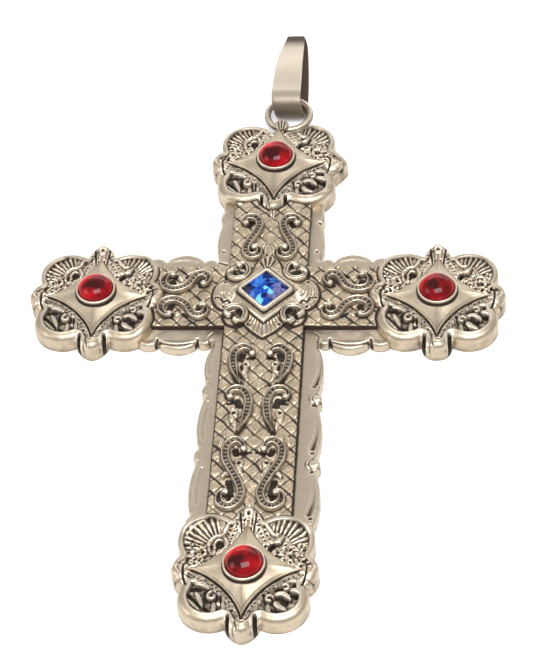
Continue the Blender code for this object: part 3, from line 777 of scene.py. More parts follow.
def ruby_glass():
    """Deep red glass with painted light: almost black in a painted dark patch, bright red where light is
    painted on one side and round the rim.
    """
    g = Graph("ruby")
    cloudy = g.noise(330.0, 2.0)
    # Painted light: the stone's dark red is lightened where light is painted on it and darkened in its
    # painted dark patch, with random clouds.
    painted_glow = g.math("ADD", g.attribute("painted_glow"), g.spread(cloudy, 0.35, 0.65, -0.25, 0.25))
    red = g.mix(g.spread(painted_glow, 0.0, 0.5), (0.035, 0.001, 0.001, 1.0), (0.27, 0.001, 0.004, 1.0))
    g.surface("Base Color", g.mix(g.spread(painted_glow, 0.5, 1.0), red, (0.66, 0.005, 0.012, 1.0)))
    g.surface("Roughness", 0.05)
    g.surface("IOR", 1.3)
    return g.material


def sapphire_glass():
    g = Graph("sapphire")
    # Each facet's painted colour, which stands for its glints.
    g.surface("Base Color", g.node("ShaderNodeAttribute", attribute_name="painted_flash").outputs["Color"])
    g.surface("Roughness", 0.05)
    g.surface("Specular IOR Level", 0.16)
    return g.material


def paper_white():
    g = Graph("pale_floor")
    g.surface("Base Color", (0.9, 0.9, 0.9, 1.0))
    g.surface("Roughness", 0.9)
    g.surface("Emission Color", (1.0, 1.0, 1.0, 1.0))
    g.surface("Emission Strength", 0.12)
    return g.material


# ---- the pieces ----------------------------------------------------------------------------------

def placed(piece, body, slot, finish, *nodes):
    """Rides a piece on a body, in place of its CAD nodes."""
    piece.data.materials.append(finish)
    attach(piece, body)
    if nodes:
        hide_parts(*nodes)
    return piece


def add_scallops(relief):
    """The lower arm's edges: pits in the right valleys, a groove in each scallop, and nubs between."""
    for valley_y, wide in ((-19.6, 0.42), (-23.7, 0.42), (-33.9, 0.48), (-37.9, 0.42), (-47.4, 0.45)):
        relief.pit((9.35 + 0.02 * (-20 - valley_y), valley_y), wide, 0.9)
    for low, high in ((-11.6, -19.0), (-24.6, -33.0), (-38.8, -46.6)):
        middle = (low + high) / 2
        right = [(9.5, low), (10.1, (low + middle) / 2), (10.3, middle), (10.1, (high + middle) / 2)]
        right.append((9.6, high))
        relief.cut_line(smooth_line(right), [0.2, 0.45, 0.5, 0.6, 0.7], [0.03, 0.07, 0.12, 0.22, 0.38], 0.15)
        relief.cut_line(smooth_line(right[2:]), [0.1, 0.2, 0.3], [0.03, 0.14, 0.34], 0.6)
        left = [(-8.6, low + 1.5), (-9.2, middle + 1.0), (-9.0, high + 2.0)]
        relief.cut_line(smooth_line(left), 0.35, 0.14, 0.12)
    for nub_y in (-22.4, -36.4, -50.2):
        relief.raise_line([(9.4, nub_y), (10.9, nub_y)], [0.9, 1.3, 0.6], 0.35)
        for rise in (1.4, -1.4):
            relief.cut_line([(9.0, nub_y), (9.9, nub_y + rise)], 0.16, 0.25, 0.5)


def add_side_arm_edges(relief):
    """A groove along the lobe below each side arm, dark clefts beside it, and finer lines round them."""
    lobe = [(11.9, -9.3), (13.4, -9.75), (15.2, -9.95), (17.0, -9.75), (18.2, -9.3)]
    for side in (-1.0, 1.0):
        relief.pit((side * 8.35, 11.6), 0.34, 0.9)
        relief.cut_line(curve(lobe, side), [0.15, 0.28, 0.3, 0.3, 0.35], [0.2, 0.4, 0.45, 0.4, 0.5], 0.8)
        for x in (11.5, 18.6, 22.2):
            relief.cut_line(flipped([(x, -8.7), (x + 0.15, -9.9)], side), [0.25, 0.42], [0.3, 0.9], 0.95)
        relief.cut_line(curve([(12.6, 9.0), (15.0, 9.5), (17.6, 9.0)], side), 0.16, 0.1, 0.15)
        relief.cut_line(curve([(9.0, -7.6), (9.6, -8.4), (9.4, -9.6)], side), 0.16, 0.2, 0.5)
    relief.pit((8.6, 18.6), 0.34, 0.9)
    relief.cut_line([(-8.9, 8.9), (-7.6, 8.5)], 0.3, 0.4, 0.9)


def add_panel_foot(relief):
    """Darkening where the panel meets the plate, tarnished and painted shade, heavier below the side arms as
    a painted shadow, and a slight slope down from it below the side arms.
    """
    half = PANEL_HALF_WIDTH
    across, along = np.abs(relief.X), np.abs(relief.Y)
    near_panel = np.where(along > half, across - half, along - half)
    below = smoothstep(-6.0, -6.8, relief.Y) * (across > half)
    relief.soil_and_shade((0.7 + 0.3 * below) * smoothstep(0.35 + 0.2 * below, 0.1, near_panel))
    slope = 0.2 * below * np.clip(-relief.Y - half, 0.0, 2.0)
    relief.h -= slope * smoothstep(-14.0, -9.5, relief.Y) * smoothstep(7.5, 11.0, across)


def make_base_plate(finish):
    relief = Relief(base_plate_outline(), 0.12, BASE_TOP)
    relief.round = 0.45
    relief.h += 0.12 * smoothstep(2.4, 0.6, relief.edge) * smoothstep(0.0, 0.5, relief.edge)
    add_scallops(relief)
    add_side_arm_edges(relief)
    add_panel_foot(relief)
    under = PANEL_HALF_WIDTH - 0.5
    across, along = np.abs(relief.X), np.abs(relief.Y)
    upright = (across < under) & (relief.Y > -50) & (relief.Y < 24)
    hidden = upright | ((along < under) & (across < 22))
    piece = relief.solid("base_plate_relief", 0.0, hidden=hidden, wall_dirt_and_shade=(0.06, 0.3))
    return placed(piece, "cross", "base_silver", finish, "base_plate")


def panel_outline():
    """A plain cross whose ends lie under the medallions."""
    half = PANEL_HALF_WIDTH
    side, upper, lower = 20.6, 23.6, 49.2
    outline = [(side, half), (half, half), (half, upper), (-half, upper), (-half, half), (-side, half),
               (-side, -half), (-half, -half), (-half, -lower), (half, -lower), (half, -half), (side, -half)]
    return densified(outline[::-1], 0.8)


def add_lattice(relief):
    """Slanting grooves both ways, a little wavy, on worn and spotted ground."""
    pitch = 3.1
    wobble = relief.grain(2.5, 7)
    for sign, depth, wide, grime_and_shade in ((1.0, 0.3, 0.2, 1.0), (-1.0, 0.17, 0.15, 0.7)):
        across = (relief.X + sign * relief.Y + 0.3 * wobble) / pitch
        off = np.abs(across - np.round(across)) * pitch / math.sqrt(2)
        line = np.exp(-(off / wide) ** 2) * (0.75 + 0.25 * relief.grain(3.0, 8))
        relief.h += 0.07 * off - depth * line
        relief.soil_and_shade(grime_and_shade * line)
    relief.h += 0.045 * relief.grain(0.3, 9) + 0.06 * relief.grain(0.8, 10) - 0.06
    relief.extra_dirt_and_shade += 0.22 * smoothstep(0.0, 0.8, relief.grain(1.2, 11))


def add_shadows(relief):
    """Grooves under the scrolls, painted dark and set a little below them as shadows, and painted shadow
    round the cartouche and under the edges of the medallions, where the panel also drops away.
    """
    for _, waypoints, flip_x, flip_y, _ in scroll_places():
        under = smooth_line(flipped(waypoints, flip_x, flip_y), 6) - (0.0, 0.14)
        relief.cut_line(under, [0.8, 1.3, 1.3, 1.3, 0.8], 0.18, 1.1)
    cartouche = relief.signed_distance(np.array(cartouche_outline()) - (0.0, 0.15), 1.0)
    relief.soil_and_shade(smoothstep(-0.6, -0.15, cartouche))
    for centre, lobes, nubs in MEDALLIONS.values():
        cover = relief.signed_distance(np.array(medallion_outline(lobes, nubs)) + centre, 0.8)
        relief.h += (BASE_TOP + 0.05 - relief.h) * smoothstep(0.05, 0.25, cover)
        relief.soil_and_shade(smoothstep(-0.35, -0.1, cover))


def make_panel(finish):
    relief = Relief(panel_outline(), 0.125, PANEL_TOP)
    relief.round = 0.18
    add_lattice(relief)
    add_sprigs(relief)
    add_shadows(relief)
    # The panel's walls are painted dark all the way up, as shade.
    piece = relief.solid("panel_relief", BASE_TOP - 0.1, wall_dirt_and_shade=(1.0, 1.0))
    return placed(piece, "cross", "panel_silver", finish, "panel_cross")


def add_hollows(relief, hollows, depth, side, flip_y=1.0):
    """Dark hollows, each (start, end, half-width), mirrored onto a side."""
    for start, end, half in hollows:
        relief.pool(flipped([start, end], side, flip_y), half, depth)


def add_sprigs(relief):
    """Dark hollows inside the curls of the scrolls, and small buds and leaves between them."""
    buds = (((2.6, -15.9), (2.2, -19.4)), ((3.9, -26.6), (3.3, -29.8)), ((2.3, -37.2), (1.7, -39.6)))
    lower_leaves = ([(5.2, -31.4), (5.6, -33.0), (5.2, -34.6)], [(0.9, -44.4), (0.3, -46.0), (0.9, -47.4)])
    lower_hollows = (((3.2, -13.7), (3.5, -14.5), 0.7), ((1.3, -14.2), (2.4, -14.4), 0.35),
                     ((3.5, -23.9), (3.1, -24.9), 0.75), ((4.2, -24.3), (4.9, -24.5), 0.45),
                     ((3.1, -34.4), (2.9, -35.3), 0.65), ((0.5, -34.9), (2.6, -35.1), 0.35),
                     ((3.8, -41.0), (3.3, -42.8), 0.6), ((3.2, -43.6), (3.6, -44.7), 0.4),
                     ((3.1, -17.2), (3.3, -16.2), 0.3))
    upper_hollows = (((3.8, 16.9), (3.5, 17.6), 0.6), ((3.2, 10.8), (3.3, 12.0), 0.6),
                     ((3.4, 13.5), (3.2, 14.6), 0.4))
    side_hollows = (((16.8, 3.3), (16.6, 2.6), 0.7), ((11.6, 3.6), (11.9, 3.2), 0.55))
    for side in (-1.0, 1.0):
        for bud, tip in buds:
            stem = [bud, ((bud[0] + tip[0]) / 2 + 0.3, (bud[1] + tip[1]) / 2), tip]
            relief.raise_line(curve(stem, side), [0.8, 0.62, 0.2], [0.5, 0.4, 0.2])
            relief.pool(flipped([(bud[0], bud[1] - 0.1), bud], side), 0.38, 0.7)
        for leaf in lower_leaves:
            relief.leaf(curve(leaf, side), 0.42, 0.3, 0.12)
        add_hollows(relief, lower_hollows, 0.55, side)
    relief.leaf(smooth_line([(0.0, 21.2), (0.0, 19.6), (0.0, 17.6)]), 0.5, 0.3)
    for side in (-1.0, 1.0):
        relief.leaf(curve([(4.8, -40.4), (4.3, -39.6), (3.2, -39.9)], side), 0.45, 0.75, 0.0)
        relief.leaf(curve([(0.3, 12.6), (1.0, 10.9), (0.9, 9.2)], side), 0.55, 0.3)
        relief.leaf(curve([(3.4, 7.4), (4.6, 7.9), (6.0, 7.5)], side), 0.45, 0.25)
        add_hollows(relief, upper_hollows, 0.55, side)
        for flip_y in (-1.0, 1.0):
            relief.leaf(curve([(14.6, 3.5), (15.2, 4.3), (16.2, 4.6)], side, flip_y), 0.4, 0.3)
            add_hollows(relief, side_hollows, 0.4, side, flip_y)
            add_hollows(relief, (((13.6, 4.9), (14.3, 4.3), 0.35),), 0.35, side, flip_y)


def medallion_outline(quadrant_scale, nub_changes):
    """Four lobes and four nubs, of which a medallion changes some."""
    nubs = [(3.0, 11.9, 1.7), (2.4, 12.0, 1.7), (3.0, 11.9, 1.7), (2.8, 12.2, 1.6)]
    for side, nub in nub_changes.items():
        nubs[side] = nub
    return lobed_outline(LOBE_OFFSET, LOBE_RADIUS, nubs, LOBE_STRETCH_X, quadrant_scale)


def make_medallion_relief(outline, inward):
    """The cast ornament round a star. Its inward side laps over the panel."""
    relief = Relief(outline, 0.09, MEDALLION_GROUND)
    X, Y, edge = relief.X, relief.Y, relief.edge
    star = -relief.signed_distance(star_outline(), 4.0)
    lower = smoothstep(0.5, -1.5, Y)
    relief.round = 0.5 + 0.8 * lower
    rim_width = 0.8 + 0.8 * lower
    relief.h += 0.12 - 0.24 * lower
    field = smoothstep(rim_width, rim_width + 0.3, edge) * smoothstep(0.15, 0.4, star)
    relief.h += field * (0.10 * relief.grain(0.55, 3) + 0.12 * relief.grain(1.1, 4))
    relief.h += (0.2 + 0.35 * lower) * smoothstep(2.2, 1.0, star) * field
    add_upper_left_lobe(relief, field)
    add_upper_right_lobe(relief, field)
    add_lower_lobes(relief, field * lower * smoothstep(1.2, 1.6, star))
    scales = smoothstep(0.3, 0.5, star) * smoothstep(1.5, 1.2, star) * lower * field
    relief.h += 0.12 * scales * relief.grain(0.4, 20)
    relief.soil_and_shade(0.38 * scales)
    relief.granulate(scales, 0.7, 0.2, 0.25, 21, 0.6)
    rim = smoothstep(rim_width + 0.25, rim_width, edge)
    relief.h += (MEDALLION_RIM + 0.14 * lower + 0.03 * relief.grain(2.0, 5) - relief.h) * rim
    relief.extra_dirt_and_shade *= 1 - rim
    # A painted dark ring round the star's foot, as shade where the star sits on the relief.
    relief.soil_and_shade(0.75 * smoothstep(0.26, 0.08, star) * smoothstep(-0.4, 0, star))
    relief.h += 0.1 * lower * np.exp(-((edge - rim_width + 0.2) / 0.2) ** 2)
    inner_line = np.exp(-((edge - rim_width - 0.05) / 0.17) ** 2) * smoothstep(0.0, 0.8, star)
    relief.soil_and_shade(inner_line * (0.4 + 0.35 * relief.grain(1.5, 6)))
    add_nubs(relief)
    relief.h += 0.5 * smoothstep(6.5, 9.0, X * inward[0] + Y * inward[1]) * smoothstep(0.5, 1.5, star)
    return relief


def add_upper_left_lobe(relief, field):
    """A fan of flutes over a round eye, punched ground below it, and a punched band beside the top petal."""
    X, Y = relief.X, relief.Y
    ground = field * smoothstep(-3.6, -4.4, X) * smoothstep(0.8, 1.3, Y)
    ground = ground * smoothstep(5.4, 4.6, Y + 0.25 * X + 1.4)
    relief.granulate(ground, 1.2, 0.3, 0.5, 31, 0.8)
    relief.granulate(ground, 0.7, 0.2, 0.4, 32, 0.8)
    relief.flutes((-3.9, 3.8), 9.0, 96.0, 186.0, (2.9, 6.7), 0.34, field)
    relief.punched(smooth_line([(-1.3, 9.9), (-1.9, 8.2), (-2.5, 6.6), (-2.9, 5.2)]), 0.72, 0.24)
    relief.punched(smooth_line([(-2.2, 9.6), (-2.7, 8.1), (-3.2, 6.9)]), 0.76, 0.22)
    ridge = smooth_line([(-2.6, 10.0), (-3.3, 8.3), (-3.9, 6.9), (-3.6, 5.9)])
    relief.raise_line(ridge, [0.25, 0.36, 0.3], 0.4)
    eyelids = (((-5.9, 3.5), (-6.1, 5.1), (-5.2, 6.3), (-3.9, 6.5)), ((-3.3, 3.9), (-3.1, 4.9), (-3.5, 5.8)))
    for path in eyelids:
        relief.raise_line(smooth_line(path), [0.25, 0.42, 0.3], 0.6)
    stalks = (((-7.6, 2.0), (-6.4, 2.9), (-5.0, 2.8)), ((-8.1, 3.6), (-7.0, 4.2)), ((-6.2, 1.9), (-5.2, 1.7)))
    for path in stalks:
        relief.raise_line(smooth_line(path), [0.2, 0.35, 0.25], 0.5)
    relief.pool([(-4.3, 4.7), (-4.4, 5.2)], 0.72, 1.0)


def add_upper_right_lobe(relief, field):
    """A slanting dark eye with a leaf, a fan of flutes, a punched band, and a ring with a boss."""
    relief.flutes((4.1, 3.6), 9.0, 14.0, 88.0, (3.6, 7.0), 0.32, field)
    ground = field * smoothstep(2.4, 3.2, relief.X) * smoothstep(5.6, 4.6, relief.Y) * (relief.Y > 0.9)
    relief.granulate(ground, 1.3, 0.3, 0.5, 41, 0.8)
    relief.granulate(ground, 0.75, 0.19, 0.35, 42, 0.8)
    relief.punched(smooth_line([(1.3, 9.6), (1.8, 8.0), (2.6, 6.4), (3.2, 5.4)]), 0.74, 0.24)
    relief.punched(smooth_line([(2.5, 8.6), (3.0, 7.2), (3.8, 6.2)]), 0.74, 0.22)
    relief.raise_line(smooth_line([(2.6, 9.6), (3.3, 8.2), (4.4, 6.9), (5.0, 6.9)]), [0.25, 0.36, 0.3], 0.4)
    relief.pool([(3.7, 3.8), (4.3, 4.7)], [0.5, 0.6], 1.0)
    relief.leaf([(4.5, 5.0), (5.2, 5.4), (6.0, 6.3)], 0.45, 0.4, 0.0, 3.85)
    for path in (((5.2, 3.6), (6.2, 4.3), (7.2, 5.3)), ((8.4, 5.2), (9.1, 4.0)), ((5.0, 1.9), (6.3, 1.5))):
        relief.leaf(smooth_line(path), 0.42, 0.45)
    boss = (7.5, 2.65)
    relief.pool([(7.5, 2.6), (7.5, 2.7)], 1.15, 0.25, 0.5)
    relief.raise_line(arc(boss, 0.85, 0, 360), 0.34, 0.55)
    relief.punched(arc(boss, 0.3, 0, 360), 0.62, 0.15)
    for spot in ((8.9, 4.6), (5.6, 2.6), (9.3, 1.7), (3.3, 2.7)):
        relief.pit(spot, 0.36, 0.6, 1.0)


def add_lower_lobes(relief, field):
    """Curled acanthus leaves over dark ground, different on the two sides."""
    relief.h += field * (0.2 * relief.grain(0.7, 61) - 0.05)
    relief.soil_and_shade(field * (0.4 + 0.35 * relief.grain(1.0, 62)))
    hollows = (((-9.2, -3.5), (-6.9, -3.7), 0.42), ((-8.6, -5.0), (-7.2, -6.9), 0.5),
               ((-6.0, -4.4), (-5.9, -5.4), 0.42), ((-5.9, -7.3), (-5.2, -8.2), 0.42),
               ((-3.9, -7.6), (-3.6, -8.7), 0.42), ((-3.6, -5.2), (-3.4, -6.2), 0.24),
               ((3.0, -7.6), (3.3, -8.9), 0.46), ((4.9, -7.6), (6.0, -8.0), 0.4),
               ((6.1, -5.4), (6.9, -6.2), 0.46), ((7.8, -4.7), (9.0, -5.2), 0.34),
               ((5.3, -4.0), (5.9, -3.7), 0.34), ((3.3, -4.9), (3.6, -5.6), 0.28),
               ((8.0, -2.9), (9.3, -3.4), 0.28))
    add_hollows(relief, hollows, 0.65, 1.0)
    leaves = (((-8.9, -5.6), (-7.9, -6.6), (-6.7, -7.7), 0.3, 3.2),
              ((-7.5, -4.6), (-6.9, -5.7), (-6.3, -7.2), 0.42, 3.45),
              ((-7.6, -3.0), (-6.4, -3.1), (-5.4, -3.9), 0.5, 3.75),
              ((-8.9, -2.2), (-7.6, -2.3), (-6.3, -2.4), 0.42, 3.55),
              ((-4.5, -6.6), (-4.5, -7.7), (-4.7, -9.0), 0.42, 3.55),
              ((-3.1, -6.4), (-2.9, -7.8), (-3.1, -9.4), 0.38, 3.55),
              ((-2.4, -6.8), (-2.1, -8.0), (-2.2, -9.2), 0.32, 3.5),
              ((2.3, -6.6), (2.2, -8.0), (2.2, -9.3), 0.34, 3.5),
              ((4.1, -6.8), (4.2, -8.0), (4.6, -9.2), 0.42, 3.5),
              ((5.0, -6.2), (5.9, -7.1), (7.1, -7.8), 0.46, 3.55),
              ((5.2, -5.0), (6.5, -4.8), (7.7, -5.9), 0.46, 3.75),
              ((7.6, -4.0), (8.6, -4.1), (9.5, -4.7), 0.44, 3.65),
              ((4.2, -4.2), (4.9, -3.5), (5.9, -2.9), 0.38, 3.55),
              ((7.2, -2.3), (8.3, -2.2), (9.4, -2.7), 0.38, 3.55))
    for start, middle, stop, half, level in leaves:
        relief.leaf(smooth_line([start, middle, stop]), 1.1 * half, 0.5, 0.12, level + 0.08)
    relief.curl((-4.9, -5.4), 0.72, 100, 270, 3.95)
    relief.curl((4.3, -5.8), 0.66, 20, 270, 3.9)
    relief.curl((6.8, -3.6), 0.6, 150, -270, 3.85)


def add_nubs(relief):
    """The petals between the lobes."""
    for side in (-1.0, 1.0):
        relief.pool(flipped([(2.15, -8.9), (2.35, -12.4)], side), [0.34, 0.5], 1.9)
        relief.cut_line(flipped([(0.95, 7.6), (1.35, 10.9)], side), [0.16, 0.22], 0.5, 0.9)
        for y in (7.7, 8.6, 9.5):
            relief.pit((side * (1.75 + 0.05 * (y - 8)), y), 0.22, 0.5, 1.0)
        relief.raise_line(flipped([(9.3, -0.4), (10.6, -0.6), (11.3, -0.8)], side), [0.7, 1.7, 1.0], 0.4)
        relief.cut_line(curve([(9.3, 2.0), (9.9, 0.9), (9.8, -1.6), (9.3, -3.0)], side), 0.24, 0.45, 0.85)
        relief.pit((side * 9.0, 0.9), 0.36, 0.55, 1.0)
    relief.raise_line([(0.0, -9.6), (0.2, -11.4)], [0.9, 1.4], [0.25, 0.4])
    relief.cut_line([(-1.0, -10.0), (-0.6, -11.6)], 0.2, 0.2, 0.5)
    relief.raise_line([(0.0, 8.8), (0.0, 11.4)], [0.55, 0.85], 0.4)
    relief.pit((0.0, 10.7), 0.3, 0.6, 1.0)
    relief.pit((-0.55, 9.7), 0.26, 0.6, 1.0)


def make_star(name, centre, finish, node):
    """Four hollow-sided wings that rise to the bezel, with a fine line along their lower edges."""
    outline = np.array(star_outline(90))
    reach = np.hypot(*outline.T)
    columns = len(outline)
    under = smoothstep(0.3, -0.5, outline[:, 1] / reach)
    edge = 3.58 + 0.22 * smoothstep(7.5, 4.9, reach)
    middle = STAR_TOP + 0.12
    hole, bezel_foot = 2.7, 3.3
    rows, marks = [], []
    for t in np.linspace(0.0, 1.0, 40):
        radius = hole + (reach - hole) * t
        fall = np.clip((radius - bezel_foot) / (reach - bezel_foot), 0.0, 1.0)
        line = np.exp(-((fall - 0.86) / 0.045) ** 2) * under
        height = edge + (middle - edge) * (1.0 - fall ** 1.15)
        height = height - 0.10 * line - 0.13 * smoothstep(0.95, 1.0, fall) ** 2
        rows.append(np.column_stack([outline / reach[:, None] * radius[:, None], height]))
        # Painted shade round the bezel's foot, heavier on the lower side, and darkening in the tarnished fine
        # groove along the lower edges.
        shade = 0.5 * smoothstep(4.0, 3.6, radius) * (0.5 + 0.5 * under) + 0.45 * line
        marks.append(np.column_stack([shade, 0.25 * (1 - fall) + 0.75 * smoothstep(0.9, 1.0, fall)]))
    # The star's walls are painted dark, as shade.
    for height in (3.35, 2.8):
        rows.append(np.column_stack([outline, np.full(columns, height)]))
        marks.append(np.tile([0.6, 0.0], (columns, 1)))
    points = np.vstack(rows) + np.array([*centre, 0.0])
    quads = grid_quads(len(rows), columns)[:, ::-1]
    caps = [np.arange(columns), (len(rows) - 1) * columns + np.arange(columns)[::-1]]
    piece = built(name, points, quads, caps, np.vstack(marks))
    return placed(piece, "cross", "plain_silver", finish, node)


def make_bezel(name, centre, finish, node):
    """A turned cup round a red stone, from its foot on the star over its lip to its floor."""
    foot, top = STAR_TOP - 0.1, BEZEL_TOP
    profile = [(0.0, foot), (3.72, foot), (3.66, foot + 0.25), (3.5, foot + 0.62), (3.47, top - 0.3),
               (3.44, top - 0.06), (3.36, top), (3.24, top + 0.01), (3.14, top - 0.05), (3.06, top - 0.18),
               (3.0, foot + 0.35), (0.0, foot + 0.35)]
    # The foot on the star and the floor inside are painted dark as shade; the lip is rubbed bright.
    dirt_and_shade = [1.0, 1.0, 1.0, 0.9, 0.15, 0.0, 0.0, 0.0, 0.0, 0.2, 0.8, 0.9]
    wear_and_sheen = [0.0, 0.0, 0.0, 0.2, 0.6, 1.0, 1.0, 1.0, 1.0, 0.8, 0.3, 0.3]
    piece = lathe(name, profile[::-1], centre, 96, list(zip(dirt_and_shade[::-1], wear_and_sheen[::-1])))
    return placed(piece, "cross", "plain_silver", finish, node)


def make_cabochon(name, centre, finish, node):
    """A domed red stone with painted light: lighter on its upper left side and round its rim, with a painted
    dark patch low on its left.
    """
    bottom, girdle = STAR_TOP + 0.45, BEZEL_TOP - 0.12
    radius = 3.02
    profile = [(0.0, bottom), (radius - 0.25, bottom), (radius, bottom + 0.2), (radius, girdle)]
    for angle in np.linspace(0, math.pi / 2, 22)[1:-1]:
        rise = (CABOCHON_TOP - girdle) * math.sin(angle) ** 1.05
        profile.append((radius * math.cos(angle), girdle + rise))
    profile.append((0.0, CABOCHON_TOP))
    piece = lathe(name, profile[::-1], centre, 96)
    x, y, _ = (np.array([v.co for v in piece.data.vertices]) / MM - np.array([*centre, 0.0])).T
    away = np.hypot(x, y) / radius
    # Painted light and shade: lit on the upper left side, brighter round the rim, and a painted dark patch
    # lower left.
    lit_side = (-0.55 * x + 0.8 * y) / radius
    dark = np.exp(-((x + 0.8) / 1.3) ** 2 - ((y + 0.8) / 1.0) ** 2)
    painted_glow = 0.28 + 0.65 * smoothstep(0.1, 0.8, lit_side) + 0.14 * smoothstep(0.55, 0.95, away) - 0.5 * dark
    layer = piece.data.attributes.new("painted_glow", "FLOAT", "POINT")
    layer.data.foreach_set("value", painted_glow.astype(np.float32))
    return placed(piece, "cross", "ruby_glass", finish, node)


# Each medallion's centre, its lobes' sizes (from upper right, anticlockwise), and the nubs of its own
MEDALLIONS = {
    "right": ((SIDE_REACH, 0.0), (1.0, 1.0, 1.0, 1.0), {3: (2.6, 12.1, 2.3)}),
    "upper": ((0.0, UPPER_REACH), (1.0, 0.97, 1.0, 1.05), {0: (3.5, 13.1, 1.2), 1: (1.2, 8.9, 2.0)}),
    "left": ((-SIDE_REACH, 0.0), (1.0, 1.0, 1.0, 1.0), {}),
    "lower": ((0.0, -LOWER_REACH), (1.05, 1.08, 1.0, 1.0), {}),
}


def make_medallions(chased, plain, ruby):
    for side, (centre, lobes, nubs) in MEDALLIONS.items():
        inward = -np.array(centre) / np.hypot(*centre)
        relief = make_medallion_relief(medallion_outline(lobes, nubs), inward)
        away = np.hypot(relief.X, relief.Y)
        if side == "upper":
            # The rim is worn down beside the jump ring, which would touch it as it swings
            relief.h -= 0.6 * smoothstep(2.8, 1.3, np.hypot(relief.X - 3.0, relief.Y - 10.2))
        relief.h[away < 3.2] = 2.85
        cap = relief.solid(f"{side}_medallion_relief", 0.0, centre, away < 2.6)
        placed(cap, "cross", "medallion_silver", chased, f"{side}_medallion_cap")
        make_star(f"{side}_star", centre, plain, f"{side}_star_plate")
        make_bezel(f"{side}_bezel", centre, plain, f"{side}_bezel_cup")
        make_cabochon(f"{side}_ruby", centre, ruby, f"{side}_cabochon")


def petal_outline(half_width, length):
    """A rounded petal that points along +Y."""
    outline = []
    for angle in np.linspace(0, 2 * math.pi, 48, endpoint=False):
        rise = math.sin(angle) if math.sin(angle) > 0 else 0.9 * math.sin(angle)
        outline.append((half_width * math.cos(angle), length / 2 * rise))
    return outline


def make_upper_petal(finish):
    """The fluted petal over the hanging eye."""
    relief = Relief(petal_outline(1.35, 2.6), 0.07, 4.0)
    relief.round = 0.25
    for side in (-1.0, 0.0, 1.0):
        relief.cut_line([(side * 0.35, -1.2), (side * 0.75, 1.2)], 0.15, 0.25, 0.8)
    piece = relief.solid("upper_petal", 3.55, (middle_of("hanger_eye")[0], 42.2))
    return placed(piece, "cross", "medallion_silver", finish)


# Centre lines of the scrolls that lie at -X; their mirror images lie at +X
UPPER_SCROLL = [(-4.1, 16.9), (-4.9, 17.4), (-4.3, 18.5), (-3.0, 18.5), (-2.2, 17.5), (-2.2, 16.1),
                (-2.8, 14.5), (-3.6, 12.9), (-4.2, 11.4), (-4.1, 9.9), (-3.1, 9.0), (-2.0, 9.5), (-1.8, 10.7),
                (-2.6, 11.3), (-2.9, 10.6)]
LOWER_SCROLLS = {
    "first": [(-1.5, -14.2), (-1.8, -12.8), (-3.3, -12.2), (-4.7, -13.6), (-4.7, -16.0), (-4.0, -18.6),
              (-3.1, -20.2)],
    "second": [(-4.3, -23.6), (-5.1, -22.7), (-4.2, -21.6), (-2.6, -21.8), (-1.6, -23.7), (-1.6, -25.9),
               (-2.1, -28.4), (-3.0, -30.6)],
    "third": [(-1.6, -35.0), (-2.0, -33.4), (-3.2, -32.6), (-4.6, -33.9), (-4.6, -36.4), (-3.6, -38.6),
              (-2.6, -40.4), (-1.8, -42.4), (-1.6, -43.9), (-2.4, -45.7), (-3.8, -46.3), (-5.0, -45.4),
              (-5.1, -44.0), (-4.4, -43.3), (-3.8, -43.9)],
}
SIDE_SCROLL = [(-16.3, 4.4), (-17.4, 4.7), (-18.3, 3.4), (-18.0, 1.9), (-16.6, 1.2), (-15.2, 1.4),
               (-13.9, 2.3), (-13.2, 3.5), (-12.5, 4.6), (-11.3, 4.9), (-10.4, 4.0), (-10.7, 2.7),
               (-11.7, 2.4)]


def scroll_sections(at, half, from_end):
    """The ribbon's section at each distance along it, and the sections' (dirt, polish)."""
    foot = PANEL_TOP - 0.25
    across = np.linspace(-1.0, 1.0, 19)
    rims = np.exp(-((np.abs(across) - 0.68) / 0.18) ** 2)
    fall = np.sqrt(np.clip(1.0 - np.abs(across) ** 5, 0.0, 1.0))
    sections, marks = [], []
    for distance, wide, end in zip(at, half, from_end):
        beads = (0.5 + 0.5 * math.cos(distance * 2 * math.pi / 0.8)) * float(smoothstep(1.5, 4.0, end))
        crest = np.maximum(rims, 1.0 - float(smoothstep(0.6, 1.5, end)))
        height = (0.38 + 0.62 * crest + 0.14 * beads * (np.abs(across) < 0.25)) * (0.2 + 0.8 * fall)
        height = foot + (SCROLL_TOP - foot) * height * (0.85 + 0.15 * float(smoothstep(0.0, 0.5, end)))
        upper = np.column_stack([across * wide, height])
        lower = np.array([[wide * 1.02, foot], [-wide * 1.02, foot]])
        sections.append(np.vstack([upper, lower]))
        # The channel is tarnished; the ribbon's sloping sides and its foot are painted dark, as shade.
        groove = np.clip(1 - 1.5 * crest, 0, 1) * (np.abs(across) < 0.6)
        dirt_and_shade = 0.95 * groove * (1 - 0.55 * beads) + 0.7 * (1 - fall)
        marks.append(np.column_stack([np.append(dirt_and_shade, [1.0, 1.0]), np.append(1.1 * crest * fall, [0, 0])]))
    return sections, np.vstack(marks)


